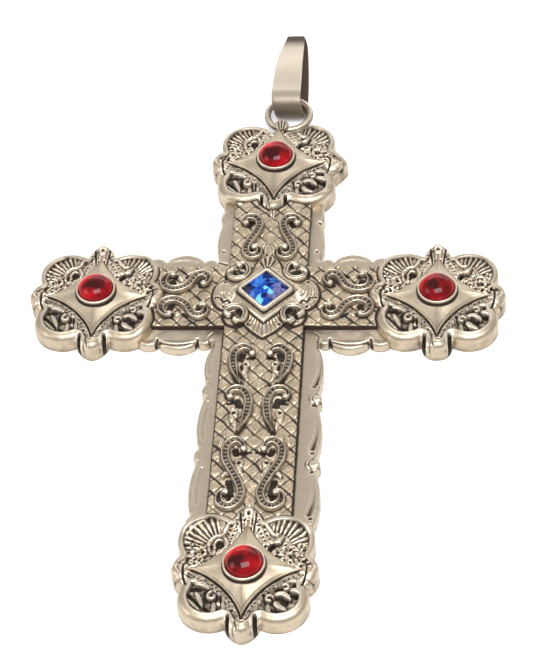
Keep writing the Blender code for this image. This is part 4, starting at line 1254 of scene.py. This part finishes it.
def make_scroll(name, waypoints, flip_x, flip_y, tapered, finish):
    """A ribbon with two raised rims and a beaded channel, from a ball to another ball or a thin end."""
    line = smooth_line(flipped(waypoints, flip_x, flip_y), 14)
    run = run_along(line)
    at = np.arange(0.0, run[-1], 0.1)
    line = np.column_stack([np.interp(at, run, line[:, k]) for k in (0, 1)])
    heading = np.gradient(line, axis=0)
    heading /= np.hypot(*heading.T)[:, None]
    sides = np.column_stack([heading[:, 1], -heading[:, 0], np.zeros(len(line))])
    ups = np.tile([0.0, 0.0, 1.0], (len(line), 1))
    left = at[-1] - at
    from_end = np.minimum(at, left)
    if tapered:
        from_end = np.where(left < at, np.maximum(from_end, 1.6), from_end)
    half = 0.36 + 0.42 * smoothstep(0.9, 3.4, from_end) + 0.26 * np.exp(-((from_end - 0.35) / 0.42) ** 2)
    half *= np.sqrt(np.clip(from_end / 0.45, 0.04, 1.0)) * (1 - 0.6 * tapered * smoothstep(4.5, 0.0, left))
    sections, marks = scroll_sections(at, half, from_end)
    centres = np.column_stack([line, np.zeros(len(line))])
    piece = swept(f"{name}_ribbon", centres, sides, ups, sections, False, marks)
    return placed(piece, "cross", "scroll_silver", finish, name)


def scroll_places():
    """Every scroll: its CAD node, its centre line, how that is mirrored, and 1 where its end tapers, or 0."""
    places = []
    for side, mirror in (("left", 1.0), ("right", -1.0)):
        places.append((f"upper_scroll_{side}", UPPER_SCROLL, mirror, 1.0, 0))
        places.append((f"{side}_scroll_upper", SIDE_SCROLL, mirror, 1.0, 0))
        places.append((f"{side}_scroll_lower", SIDE_SCROLL, mirror, -1.0, 0))
        for tier, line in LOWER_SCROLLS.items():
            places.append((f"lower_scroll_{tier}_{side}", line, mirror, 1.0, int(tier != "third")))
    return places


def make_scrolls(finish):
    for place in scroll_places():
        make_scroll(*place, finish)


def cartouche_outline():
    """Shells at the sides, a fan above and a leaf point below, with a curled leaf at each corner."""
    return lobed_outline(4.8, 2.45, [(3.5, 9.4, 2.0), (2.6, 9.4, 1.5), (3.5, 9.4, 2.0), (3.4, 9.9, 1.15)])


def add_shells(relief):
    """Rippled shells at the sides, each with a jagged cut across its lower edge."""
    cut = [(5.9, -2.6), (6.6, -1.7), (7.4, -1.9), (8.0, -1.0), (8.9, -0.9)]
    for side, first, last in ((-1.0, 100.0, 250.0), (1.0, -70.0, 80.0)):
        relief.raise_line(flipped([(6.6, 0.6), (7.2, 0.0)], side), [1.9, 2.2], 0.3)
        for step, radius in enumerate((1.1, 1.5, 2.0, 2.4, 2.9, 3.25)):
            centre = (side * (5.5 + 0.05 * step), 0.5 - 0.14 * step)
            ripple = arc(centre, radius, first + 4 * step, last - 9 * step)
            relief.cut_line(ripple, [0.08, 0.2, 0.14, 0.2, 0.08], 0.1, 0.2)
        relief.cut_line(curve(cut, side), [0.3, 0.22, 0.3, 0.2, 0.3], 0.3, 0.9)


def add_corner_curls(relief):
    """A leaf curled round a dark hole at each corner, with pits beside it."""
    curl = smooth_line([(6.1, 5.3), (6.8, 4.6), (6.5, 3.7), (5.3, 3.2), (4.0, 3.5), (3.3, 4.6), (3.5, 6.0),
                        (4.3, 6.8), (5.0, 6.3)])
    for flip_x in (-1.0, 1.0):
        for flip_y in (-1.0, 1.0):
            wide = 0.85 if flip_y > 0 else 1.1 + 0.1 * flip_x
            relief.pool(flipped([(4.6, 4.6), (5.4, 5.0)], flip_x, flip_y), wide, 1.3)
            leaf = flipped(curl, flip_x, flip_y)
            relief.raise_line(leaf, [0.5, 0.42, 0.5, 0.55, 0.5, 0.42, 0.5], 0.8, 4.9)
            relief.cut_line(leaf[10:-10], 0.18, 0.28, 0.8)
            for spot in flipped(((6.3, 4.4), (4.2, 6.2), (7.3, 2.9), (2.7, 6.9)), flip_x, flip_y):
                relief.pit(spot, 0.36, 0.7, 1.0)


def make_cartouche(finish):
    """Shells at the sides, fans above and below, a bright frame and four curled corners round the stone."""
    relief = Relief(cartouche_outline(), 0.07, CARTOUCHE_GROUND)
    relief.round = 0.4
    away = (np.abs(relief.X) + np.abs(relief.Y)) / math.sqrt(2)
    relief.h += 0.85 * smoothstep(6.3, 3.9, away)
    relief.h += 0.06 * relief.grain(0.6, 51)
    # A painted dark band round the setting's foot, as shade.
    relief.soil_and_shade(smoothstep(4.25, 4.0, away))
    mask = smoothstep(0.1, 0.4, relief.edge)
    add_shells(relief)
    relief.flutes((0.0, 3.9), 12.0, 62.0, 118.0, (1.2, 5.4), 0.3, mask)
    relief.flutes((0.0, -2.4), 8.0, 228.0, 312.0, (3.3, 7.6), 0.13, mask)
    for side in (-1.0, 1.0):
        relief.raise_line([(side * 4.2, -2.2), (0.0, -6.3)], 0.5, 0.5, 4.7)
        relief.cut_line([(side * 3.6, -3.7), (0.0, -7.2)], 0.2, 0.25, 0.8)
    add_corner_curls(relief)
    # The walls are painted dark as shade, darkest at their foot.
    piece = relief.solid("cartouche_relief", PANEL_TOP - 0.2, wall_dirt_and_shade=(0.6, 1.0))
    return placed(piece, "cross", "medallion_silver", finish, "centre_cartouche")


def square_ring(half_side, corner, steps=6):
    """Points of a square on its point, with rounded corners."""
    points = []
    for side in range(4):
        quarter = [(half_side - corner + corner * math.cos(a), half_side - corner + corner * math.sin(a))
                   for a in np.linspace(0, math.pi / 2, steps + 1)]
        points += turned_about_z(quarter, 90.0 * side)
    return np.array(turned_about_z(points, 45.0))


def make_centre_bezel(finish):
    """A square setting on its point, from its foot over its lip to its floor."""
    foot, top = 4.3, BEZEL_TOP
    outer = 3.75
    # The foot and the inner wall are painted dark as shade; the lip is rubbed bright.
    levels = [(outer, foot, 1.0), (3.72, foot + 0.45, 0.95), (3.62, foot + 0.6, 0.2), (3.58, top - 0.2, 0.0),
              (3.48, top - 0.05, 0.0), (3.3, top + 0.02, 0.0), (3.08, top - 0.03, 0.0),
              (2.98, top - 0.2, 0.2), (2.95, foot + 0.4, 0.8)]
    rings, marks = [], []
    for half, z, dirt_and_shade in levels:
        ring = square_ring(half, 0.75 - (outer - half) * 0.6)
        rings.append(np.column_stack([ring, np.full(len(ring), z)]))
        marks.append(np.tile([dirt_and_shade, 1.0 - dirt_and_shade], (len(ring), 1)))
    count = len(rings[0])
    quads = grid_quads(len(rings), count)
    caps = [np.arange(count)[::-1], (len(rings) - 1) * count + np.arange(count)]
    piece = built("centre_bezel_wall", np.vstack(rings), quads, caps, np.vstack(marks))
    return placed(piece, "cross", "plain_silver", finish, "centre_bezel")


# The blue stone's colours: its own blues, and the painted glints and dark facets that stand for light in it.
STONE_COLOURS = {"black": (0.001, 0.002, 0.012), "navy": (0.004, 0.014, 0.11), "blue": (0.008, 0.05, 0.30),
                 "mid": (0.03, 0.13, 0.42), "sky": (0.13, 0.46, 0.72), "grey": (0.11, 0.115, 0.27)}
# Painted glints: where each colour is painted on the blue stone's facets, in mm from its middle
PAINTED_FLASHES = [(-3.0, -0.4, "black"), (-2.6, -0.9, "navy"), (-1.5, 0.6, "mid"), (-0.6, 1.1, "mid"),
           (-0.4, 0.2, "blue"), (-1.6, -0.7, "navy"), (-2.0, -1.4, "mid"), (-1.0, -1.0, "blue"),
           (-0.9, -2.7, "sky"), (-1.5, -2.1, "blue"), (-0.1, -0.5, "sky"), (0.8, -1.5, "sky"),
           (0.3, -1.1, "blue"), (0.1, -2.2, "navy"), (0.5, -3.1, "blue"), (1.3, -2.3, "grey"),
           (0.1, 2.0, "navy"), (0.3, 3.2, "black"), (1.0, 2.4, "navy"), (1.3, 1.0, "mid"),
           (0.6, 0.5, "navy"), (1.1, -0.5, "blue"), (2.0, 0.2, "grey"), (2.6, -0.6, "grey"),
           (2.2, 1.2, "blue"), (1.7, -1.2, "grey"), (3.4, 0.2, "navy"), (-1.2, 2.3, "mid"),
           (-2.3, 0.9, "blue")]


def facet_points(ticks, table, random):
    """A square's grid of points, turned on its point: a raised, slightly uneven table inside a low rim."""
    count = len(ticks)
    ripple = random.uniform(-0.05, 0.05, (count, count))
    shift = random.uniform(-0.2, 0.2, (count, count, 2))
    points = []
    for j, v in enumerate(ticks):
        for i, u in enumerate(ticks):
            reach = max(abs(u), abs(v))
            moved = (u, v) if reach > table - 0.1 else (u + shift[j, i, 0], v + shift[j, i, 1])
            height = 5.4 if reach > table + 0.1 else 6.1 + ripple[j, i]
            points.append((*turned_about_z([moved], 45.0)[0], height))
    return points


def facet_faces(count):
    """Two triangles for each cell of the grid, split by diagonals that alternate."""
    faces = []
    for j in range(count - 1):
        for i in range(count - 1):
            a, d = j * count + i, (j + 1) * count + i
            b, c = a + 1, d + 1
            if (i + j) % 2:
                faces += [(a, b, c), (a, c, d)]
            else:
                faces += [(a, b, d), (b, c, d)]
    return faces


def make_centre_stone(finish):
    """A square stone on its point: crown facets round a table cut in triangles, each painted with a colour
    that stands for its glints.
    """
    half, table, steps, girdle = 3.0, 2.35, 6, 4.9
    ticks = np.concatenate([[-half], np.linspace(-table, table, steps + 1), [half]])
    count = len(ticks)
    random = np.random.default_rng(5)
    points = facet_points(ticks, table, random)
    faces = facet_faces(count)
    last = count - 1
    rim = [*range(count)]
    rim += [j * count + last for j in range(1, count)]
    rim += [last * count + i for i in range(last - 1, -1, -1)]
    rim += [j * count for j in range(last - 1, 0, -1)]
    foot = len(points)
    points += [(points[k][0], points[k][1], girdle) for k in rim]
    for k, top in enumerate(rim):
        n = (k + 1) % len(rim)
        faces.append((foot + k, foot + n, rim[n], top))
    faces.append(tuple(range(foot + len(rim) - 1, foot - 1, -1)))
    mesh = bpy.data.meshes.new("centre_stone_facets")
    mesh.from_pydata([tuple(c * MM for c in p) for p in points], [], faces)
    mesh.validate()
    layer = mesh.color_attributes.new("painted_flash", "FLOAT_COLOR", "CORNER")
    values = []
    for face in mesh.polygons:
        x, y = face.center.x / MM, face.center.y / MM
        colour = STONE_COLOURS[min(PAINTED_FLASHES, key=lambda painted_flash: math.hypot(painted_flash[0] - x, painted_flash[1] - y))[2]]
        # Each facet painted a little lighter or darker at random, as glints.
        shade = random.uniform(0.6, 1.3)
        values += [*(shade * part for part in colour), 1.0] * face.loop_total
    layer.data.foreach_set("color", values)
    piece = added("centre_stone_facets", mesh)
    return placed(piece, "cross", "sapphire_glass", finish, "centre_stone")


def wire_ring(name, centre, radius, wire, side, up, dirt_and_shade):
    """A round wire bent into a circle in the plane of two directions, evenly tarnished, with painted shade on
    one half of the wire and a painted highlight on the other.
    """
    angles = np.linspace(0, 2 * math.pi, 96, endpoint=False)
    around = np.linspace(0, 2 * math.pi, 20, endpoint=False)
    out = np.outer(np.cos(angles), side) + np.outer(np.sin(angles), up)
    section = np.column_stack([wire * np.cos(around), wire * np.sin(around)])
    normal = np.tile(np.cross(side, up), (len(angles), 1))
    # Painted shade on the half of the wire that faces against its plane's normal, a painted highlight on the
    # half that faces along it.
    tarnish_and_shade = dirt_and_shade + 0.75 * smoothstep(0.75, -0.1, np.sin(around))
    marks = np.tile(np.column_stack([tarnish_and_shade, 0.7 * np.clip(np.sin(around), 0.0, 1.0)]), (len(angles), 1))
    piece = swept(name, np.array(centre) + radius * out, out, normal, [section] * len(angles), True, marks)
    piece.data.flip_normals()
    return piece


def make_rings(finish):
    """The hanging eye, which stands upright along the cross, and the jump ring, which lies flat in it."""
    x, y, z = np.eye(3)
    eye = wire_ring("hanger_eye_loop", EYE_CENTRE, EYE_RADIUS, EYE_WIRE, y, z, 0.3)
    placed(eye, "cross", "link_silver", finish, "hanger_eye")
    ring_centre = EYE_CENTRE + RING_RADIUS * Vector((math.sin(RING_TURN), math.cos(RING_TURN), 0.0))
    ring = wire_ring("jump_ring_wire", ring_centre, RING_RADIUS, RING_WIRE, x, y, 0.1)
    placed(ring, "ring", "link_silver", finish, "jump_ring")


def bail_path():
    """Points (y, z) round the bail's outside, seen from the side."""
    foot_y, fold_y = BAIL_FOOT[0], BAIL_FOLD[0]
    fall = math.degrees(math.atan2(2 * (BAIL_FOOT_RADIUS - BAIL_FOLD_RADIUS), fold_y - foot_y))
    path = arc(BAIL_FOOT, BAIL_FOOT_RADIUS, -90.0, -270.0 - fall)
    bend = arc(BAIL_FOLD, BAIL_FOLD_RADIUS, 90.0 - fall, -90.0, 20)
    (start_y, start_z), (end_y, end_z) = path[-1], bend[0]
    steps = np.arange(1, 30) / 30
    for t in steps:
        rise = BAIL_CROWN * math.sin(math.pi * t) ** 1.3
        path.append((start_y + (end_y - start_y) * t, start_z + (end_z - start_z) * t + rise))
    path += bend
    path += [(fold_y + (foot_y - fold_y) * t, 0.0) for t in steps]
    return np.array(path)


def bail_section(wide):
    """The band's section (across, depth), from one edge over its outer face and back along its inner face."""
    thick, edge = BAIL_THICKNESS, 0.16
    corner, slant = edge / wide, 0.3 * edge / wide
    side = [(-1, 0.5 * thick), (-1, edge), (-1 + slant, 0.3 * edge), (-1 + corner, 0.0)]
    face = [(a, -0.02 * (1 - a * a)) for a in np.linspace(-0.85, 0.85, 9)]
    back = [(1, thick - edge), (1 - corner, thick), (0, thick), (-1 + corner, thick), (-1, thick - edge)]
    return side + face + [(-a, depth) for a, depth in side[::-1]] + back


def make_bail(finish):
    """A closed tapered band with softened edges, lightly tarnished, and painted dark as shade at its two
    bends and on its inner face.
    """
    path = bail_path()
    y, z = path.T
    ahead = np.roll(path, -1, 0) - np.roll(path, 1, 0)
    ahead /= np.hypot(*ahead.T)[:, None]
    inward = np.column_stack([np.zeros(len(path)), ahead[:, 1], -ahead[:, 0]])
    low, high = BAIL_FOOT[0] - BAIL_FOOT_RADIUS, BAIL_FOLD[0] + BAIL_FOLD_RADIUS
    part = np.clip((y - low) / (high - low), 0.0, 1.0)
    half = (BAIL_FOOT_WIDTH - BAIL_TAPER * part ** 2.2) / 2
    middle = BAIL_CENTRE_X + BAIL_LEAN * (y - BAIL_FOOT[0]) - BAIL_SKEW * (z - BAIL_FOOT[1])
    # Lightly tarnished all over, with painted shade at the two bends.
    tarnish_and_shade = 0.04 + 0.9 * smoothstep(62.4, 66.6, y) + 0.7 * smoothstep(50.0, 46.4, y)
    rows, marks = [], []
    for k, wide in enumerate(half):
        for across, depth in bail_section(wide):
            rows.append(np.array([middle[k] + across * wide, y[k], z[k]]) + inward[k] * depth)
            # The inner face is painted dark as shade.
            inside = depth > 0.6 * BAIL_THICKNESS
            marks.append((1.0 if inside else tarnish_and_shade[k], 0.5 if abs(abs(across) - 1) < 0.08 else 0.1))
    quads = grid_quads(len(path), len(rows) // len(path), wrap_rows=True)
    piece = built("bail_band", np.array(rows), quads, (), np.array(marks))
    piece.data.flip_normals()
    return placed(piece, "bail", "link_silver", finish, "bail")


# ---- setting -------------------------------------------------------------------------------------

def direction(azimuth, elevation):
    """The unit vector from the cross towards a place. Azimuth 0 is on the -Y side."""
    az, el = math.radians(azimuth), math.radians(elevation)
    return Vector((math.sin(az) * math.cos(el), -math.cos(az) * math.cos(el), math.sin(el)))


def make_floor():
    size = 1.5
    mesh = bpy.data.meshes.new("floor")
    corners = [(-size, -size, 0), (size, -size, 0), (size, size, 0), (-size, size, 0)]
    mesh.from_pydata(corners, [], [(0, 1, 2, 3)])
    mesh.materials.append(paper_white())
    floor = added("floor", mesh)
    floor.location = (0.0, 0.0, -0.0001)


def softbox(name, azimuth, elevation, distance, width, height, power):
    """An area light aimed at the cross."""
    towards = direction(azimuth, elevation)
    light = bpy.data.lights.new(name, "AREA")
    light.shape = "RECTANGLE"
    light.size, light.size_y, light.energy = width, height, power
    lamp = added(name, light)
    lamp.location = Vector((0.0, -0.01, 0.004)) + towards * distance
    lamp.rotation_euler = towards.to_track_quat("Z", "Y").to_euler()


def make_light():
    """A pale studio, a little brighter above, with a large key light over the cross and two softer ones."""
    world = bpy.data.worlds.new("studio")
    bpy.context.scene.world = world
    world.use_nodes = True
    tree = world.node_tree
    background = tree.nodes["Background"]
    where = tree.nodes.new("ShaderNodeTexCoord")
    split = tree.nodes.new("ShaderNodeSeparateXYZ")
    ramp = tree.nodes.new("ShaderNodeValToRGB")
    tree.links.new(where.outputs["Generated"], split.inputs[0])
    tree.links.new(split.outputs["Z"], ramp.inputs[0])
    tree.links.new(ramp.outputs[0], background.inputs["Color"])
    low, high = ramp.color_ramp.elements
    low.position, low.color = 0.0, (0.62, 0.62, 0.63, 1.0)
    high.position, high.color = 0.9, (0.9, 0.9, 0.9, 1.0)
    background.inputs["Strength"].default_value = 0.9
    softbox("key", 20, 68, 0.6, 0.42, 0.3, 3.6)
    softbox("back", 175, 22, 0.7, 0.9, 0.22, 1.1)
    softbox("left", -75, 30, 0.6, 0.3, 0.3, 0.8)


def make_camera():
    """The camera stands in front of the cross and above it, slightly to the right, and is rolled a little."""
    azimuth, elevation, roll = 7.92, 48.967, math.radians(-6.041)
    place = (0.038744, -0.282909, 0.321528)
    back = direction(azimuth, elevation)
    right = Vector((math.cos(math.radians(azimuth)), math.sin(math.radians(azimuth)), 0.0))
    up = back.cross(right)
    turned_right = right * math.cos(roll) + up * math.sin(roll)
    turned_up = up * math.cos(roll) - right * math.sin(roll)
    data = bpy.data.cameras.new("camera")
    data.lens = 131.70
    data.sensor_width = 36.0
    camera = added("camera", data)
    turn = Matrix((turned_right, turned_up, back)).transposed().to_4x4()
    camera.matrix_world = Matrix.Translation(place) @ turn
    bpy.context.scene.camera = camera


bpy.context.scene.view_settings.view_transform = "Standard"
make_camera()
make_light()
make_floor()
antiqued = silver("antiqued_silver", dull=(0.50, 0.42, 0.32))
plain = silver("plain_silver", roughness=0.42, grain=0.25)
chased = silver("chased_silver", wash=0.06)
panelled = silver("panel_silver", bright=(0.82, 0.71, 0.56), dull=(0.50, 0.40, 0.275), wash=0.08)
brushed = brushed_silver("brushed_silver", (6.0, 0.35, 6.0))
make_base_plate(antiqued)
make_panel(panelled)
make_medallions(chased, plain, ruby_glass())
make_upper_petal(chased)
make_scrolls(antiqued)
make_cartouche(chased)
make_centre_bezel(plain)
make_centre_stone(sapphire_glass())
make_rings(plain)
make_bail(brushed)
